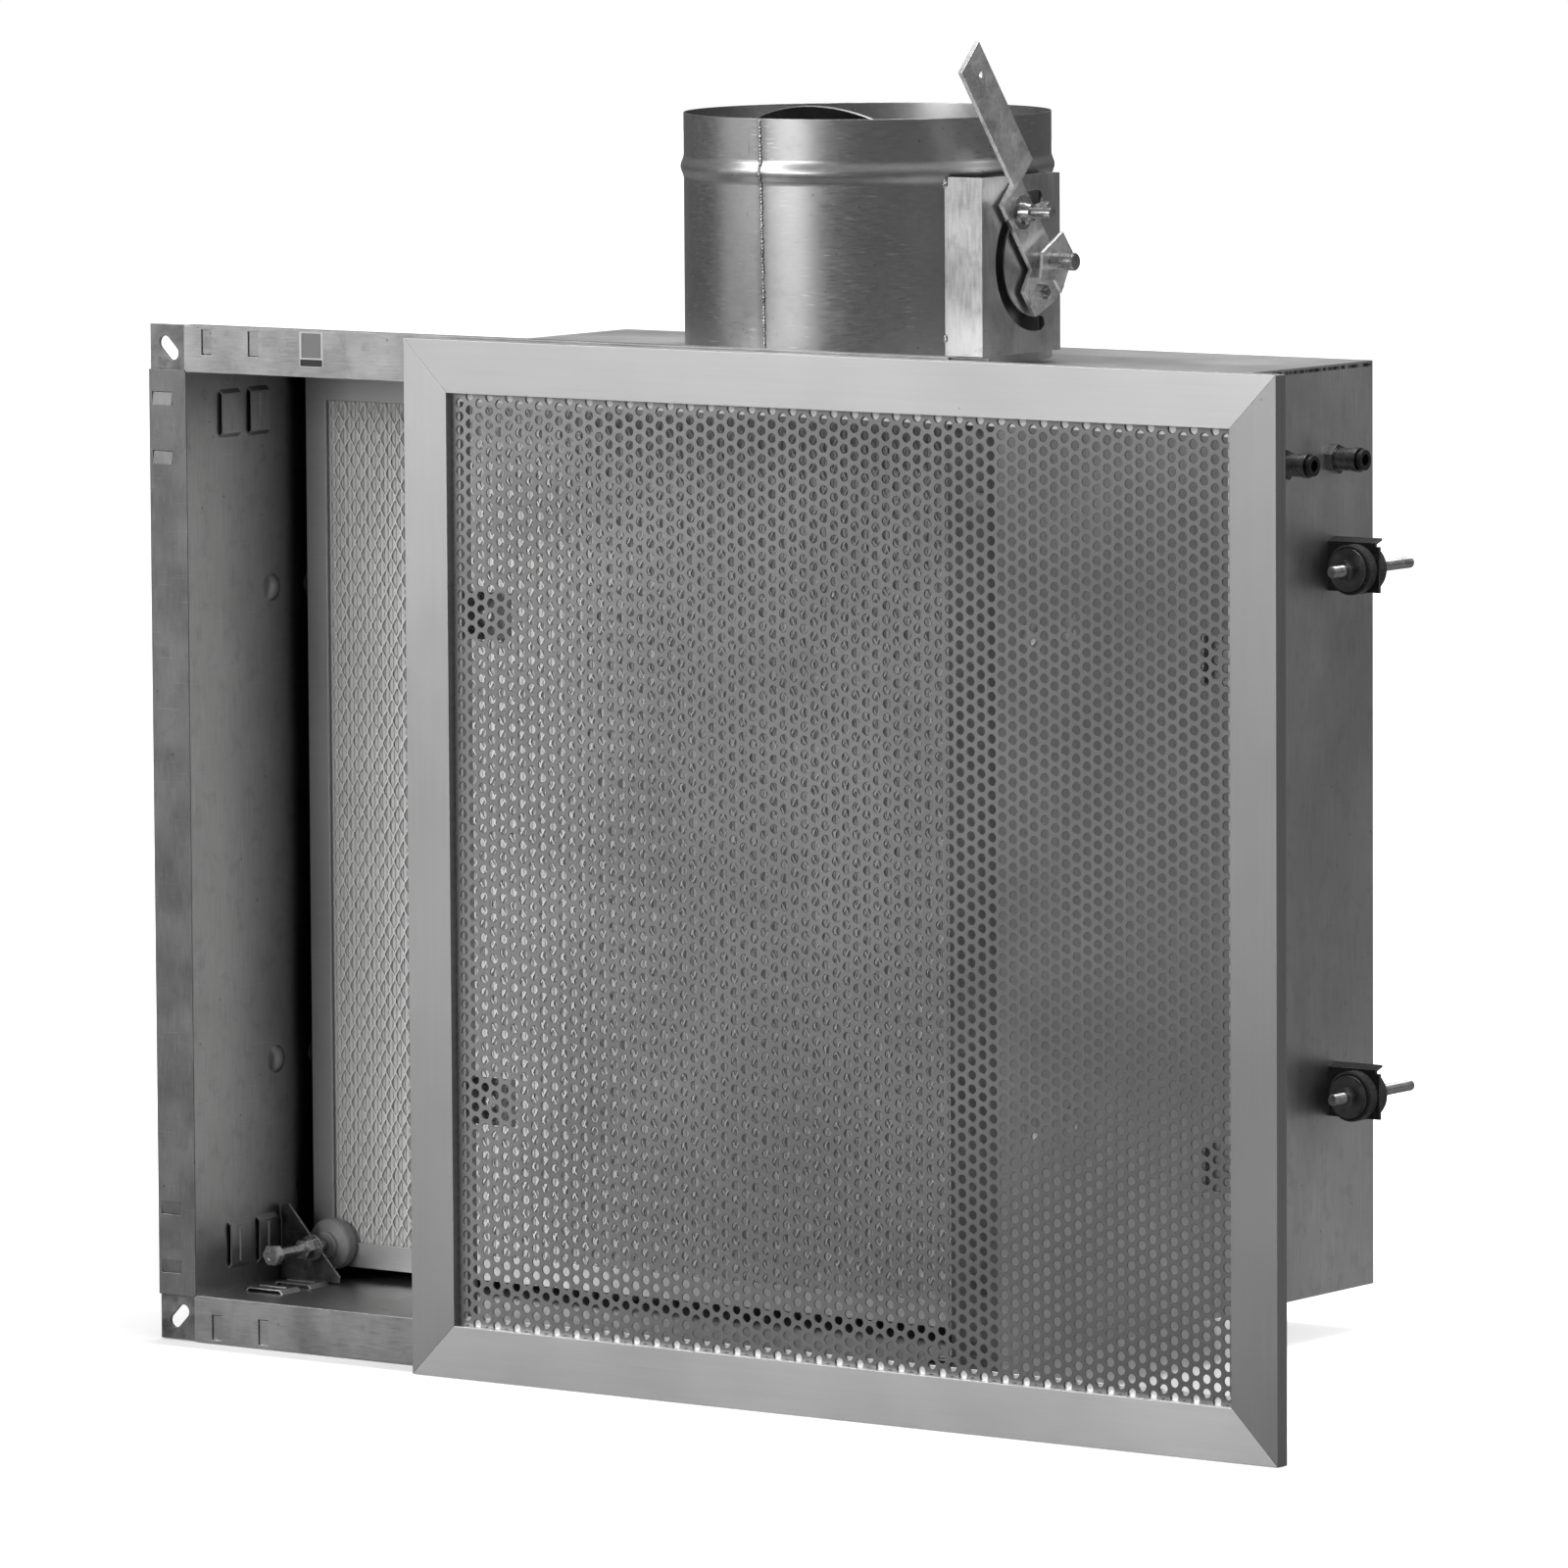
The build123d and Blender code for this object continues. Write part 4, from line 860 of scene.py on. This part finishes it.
def paper(name, base, rough):
    m = Mat(name)
    fib = m.noise(m.scaled(1, 1, 1), 1500.0, 3, 0.6)
    big = m.noise(m.scaled(1, 1, 1), 90.0, 3, 0.5)
    t = m.math("MULTIPLY", m.remap(big, 0.3, 0.7, base * 0.95, base * 1.03), m.remap(fib, 0.3, 0.7, 0.96, 1.03), clamp=True)
    m.set("Base Color", m.comb(t, t, t))
    m.set("Roughness", m.remap(big, 0.3, 0.7, rough - 0.06, rough + 0.06))
    m.set("Normal", m.bump(fib, 0.00003, 0.6))
    return m.m


# A blank sticker: white foil, a plain grey field and a dark strip under it.
LX, LZ = -0.2055, 0.3327
for nm, dz, w, h, y0, y1, base, r in (("label_foil", -0.0006, 0.0200, 0.0236, -0.00010, 0.00005, 0.62, 0.0011),
                                      ("label_field", 0.0020, 0.0165, 0.0165, -0.00016, -0.00008, 0.20, 0.0006),
                                      ("label_strip", -0.0096, 0.0186, 0.0046, -0.00016, -0.00008, 0.015, 0.0008)):
    so = Soup()
    rounded_plate(so, LX, LZ + dz, w, h, y0, y1, r)
    from_soup(nm, so, paper("mat_" + nm, base, 0.45), "casing", 30)


# ---------------------------------------------------------------- stage, light, camera
CAM = Vector((4.5979, -6.0622, 0.8452))
RIGHT = Vector((0.80905305, 0.58770609, -0.00589157))
UP = Vector((-0.05405628, 0.08438965, 0.99496548))
FWD = Vector((-0.58524446, 0.80466138, -0.10004491))
cam_d = bpy.data.cameras.new("camera")
cam = bpy.data.objects.new("camera", cam_d)
bpy.context.scene.collection.objects.link(cam)
R3 = Matrix((RIGHT, UP, -FWD)).transposed()
cam.matrix_world = Matrix.Translation(CAM) @ R3.to_4x4()
cam_d.sensor_width = 36.0
cam_d.sensor_fit = "HORIZONTAL"
cam_d.lens = 11851.0 / 1600.0 * 36.0
cam_d.shift_x = -8.0 / 1600.0
cam_d.shift_y = -44.0 / 1600.0
cam_d.clip_end = 60.0
bpy.context.scene.camera = cam


def floor():
    m = Mat("mat_floor")
    big = m.noise(m.scaled(1, 1, 1), 1.3, 3, 0.5)
    fine = m.noise(m.scaled(1, 1, 1), 60.0, 3, 0.5)
    lp = m.n("ShaderNodeLightPath")
    t = m.math("MULTIPLY", m.remap(big, 0.3, 0.7, 0.86, 0.90), m.remap(fine, 0.3, 0.7, 0.995, 1.005))
    t = m.math("MULTIPLY", t, m.remap(lp.outputs["Is Camera Ray"], 0.0, 1.0, 0.34, 1.0))
    m.set("Base Color", m.comb(t, t, t))
    m.set("Roughness", 0.9)
    m.set("Specular IOR Level", 0.1)
    m.nt.links.remove(m.out.inputs[0].links[0])
    # straight to the camera the floor glows as a white sweep, dimmed near the object as a painted soft shadow and
    # behind the cover as a painted shadow; everything else sees a plain floor darkened to 0.34 of its pale albedo
    em = m.n("ShaderNodeEmission")
    em.inputs["Color"].default_value = (1, 1, 1, 1)
    x, y, _ = m.sep()
    far = m.math("SQRT", m.math("ADD", m.math("MULTIPLY", x, x), m.math("MULTIPLY", y, y)))
    # painted shadow: a patch behind the cover, bounded by the camera's line past the cover's right edge, where the glow
    # is dimmed
    shade = m.math("MULTIPLY", m.remap(m.math("ADD", x, m.math("MULTIPLY", y, 0.76)), 0.545, 0.585, 1.0, 0.0, smooth=True), m.remap(y, -0.028, -0.018, 0.0, 1.0, smooth=True))
    shade = m.math("MULTIPLY", shade, m.remap(far, 0.5, 0.9, 1.0, 0.0, smooth=True))
    # painted soft shadow: the glow is 0.72 within 0.5 m of the centre, rising to 1.0 at 1.4 m, less 0.55 in the shadow
    # patch
    m.l(m.math("SUBTRACT", m.remap(far, 0.5, 1.4, 0.72, 1.0, smooth=True), m.math("MULTIPLY", shade, 0.55)), em.inputs["Strength"])
    add = m.n("ShaderNodeAddShader")
    m.l(m.bsdf.outputs[0], add.inputs[0])
    m.l(em.outputs[0], add.inputs[1])
    mx = m.n("ShaderNodeMixShader")
    m.l(lp.outputs["Is Camera Ray"], mx.inputs[0])
    m.l(m.bsdf.outputs[0], mx.inputs[1])
    m.l(add.outputs[0], mx.inputs[2])
    m.l(mx.outputs[0], m.out.inputs[0])
    me = bpy.data.meshes.new("floor")
    z = cad_box[0][2] - 0.0006
    me.from_pydata([(-14, -14, z), (14, -14, z), (14, 14, z), (-14, 14, z)], [], [(0, 1, 2, 3)])
    me.materials.append(m.m)
    ob = bpy.data.objects.new("floor", me)
    bpy.context.scene.collection.objects.link(ob)


floor()


def light(name, loc, at, sx, sy, power, spread=180.0):
    d = bpy.data.lights.new(name, "AREA")
    d.shape = "RECTANGLE"
    d.size, d.size_y = sx, sy
    d.energy = power
    d.spread = math.radians(spread)
    o = bpy.data.objects.new(name, d)
    bpy.context.scene.collection.objects.link(o)
    o.location = loc
    o.rotation_euler = (Vector(at) - Vector(loc)).to_track_quat("-Z", "Y").to_euler()
    return o


light("key_left", (-2.9, -3.6, 2.5), (0, 0, 0.1), 2.2, 2.4, 105)
light("low_left", (-3.7, -2.5, 0.45), (0, 0.2, 0.1), 2.4, 1.3, 7)
light("top", (0.2, 0.6, 3.6), (0.1, 0.2, 0), 2.6, 2.2, 110)
light("fill_right", (3.6, 1.6, 1.8), (0.2, 0.2, 0), 1.2, 1.6, 9)
light("front", (-1.15, -4.9, 1.35), (-0.1, 0, 0), 2.2, 1.8, 78)

world = bpy.data.worlds.new("world")
bpy.context.scene.world = world
world.use_nodes = True
wt = world.node_tree
wt.nodes.clear()
wo = wt.nodes.new("ShaderNodeOutputWorld")
cam_bg = wt.nodes.new("ShaderNodeBackground")
cam_bg.inputs[0].default_value = (1, 1, 1, 1)
cam_bg.inputs[1].default_value = 1.0
env = wt.nodes.new("ShaderNodeBackground")
tc = wt.nodes.new("ShaderNodeTexCoord")
sx = wt.nodes.new("ShaderNodeSeparateXYZ")
wt.links.new(tc.outputs["Generated"], sx.inputs[0])
rp = wt.nodes.new("ShaderNodeValToRGB")
els = rp.color_ramp.elements
while len(els) < 4:
    els.new(0.5)
for e, (p, c) in zip(els, ((0.0, 0.08), (0.47, 0.11), (0.60, 0.22), (1.0, 0.50))):
    e.position = p
    e.color = (c, c, c, 1)
mr = wt.nodes.new("ShaderNodeMapRange")
mr.inputs[1].default_value = -1.0
mr.inputs[2].default_value = 1.0
wt.links.new(sx.outputs[2], mr.inputs[0])
wt.links.new(mr.outputs[0], rp.inputs[0])
wt.links.new(rp.outputs[0], env.inputs[0])
env.inputs[1].default_value = 1.0
lp = wt.nodes.new("ShaderNodeLightPath")
mx = wt.nodes.new("ShaderNodeMixShader")
wt.links.new(lp.outputs["Is Camera Ray"], mx.inputs[0])
wt.links.new(env.outputs[0], mx.inputs[1])
wt.links.new(cam_bg.outputs[0], mx.inputs[2])
wt.links.new(mx.outputs[0], wo.inputs[0])

vs = bpy.context.scene.view_settings
vs.view_transform = "Standard"
vs.look = "None"
vs.exposure = 0.0
vs.gamma = 1.0
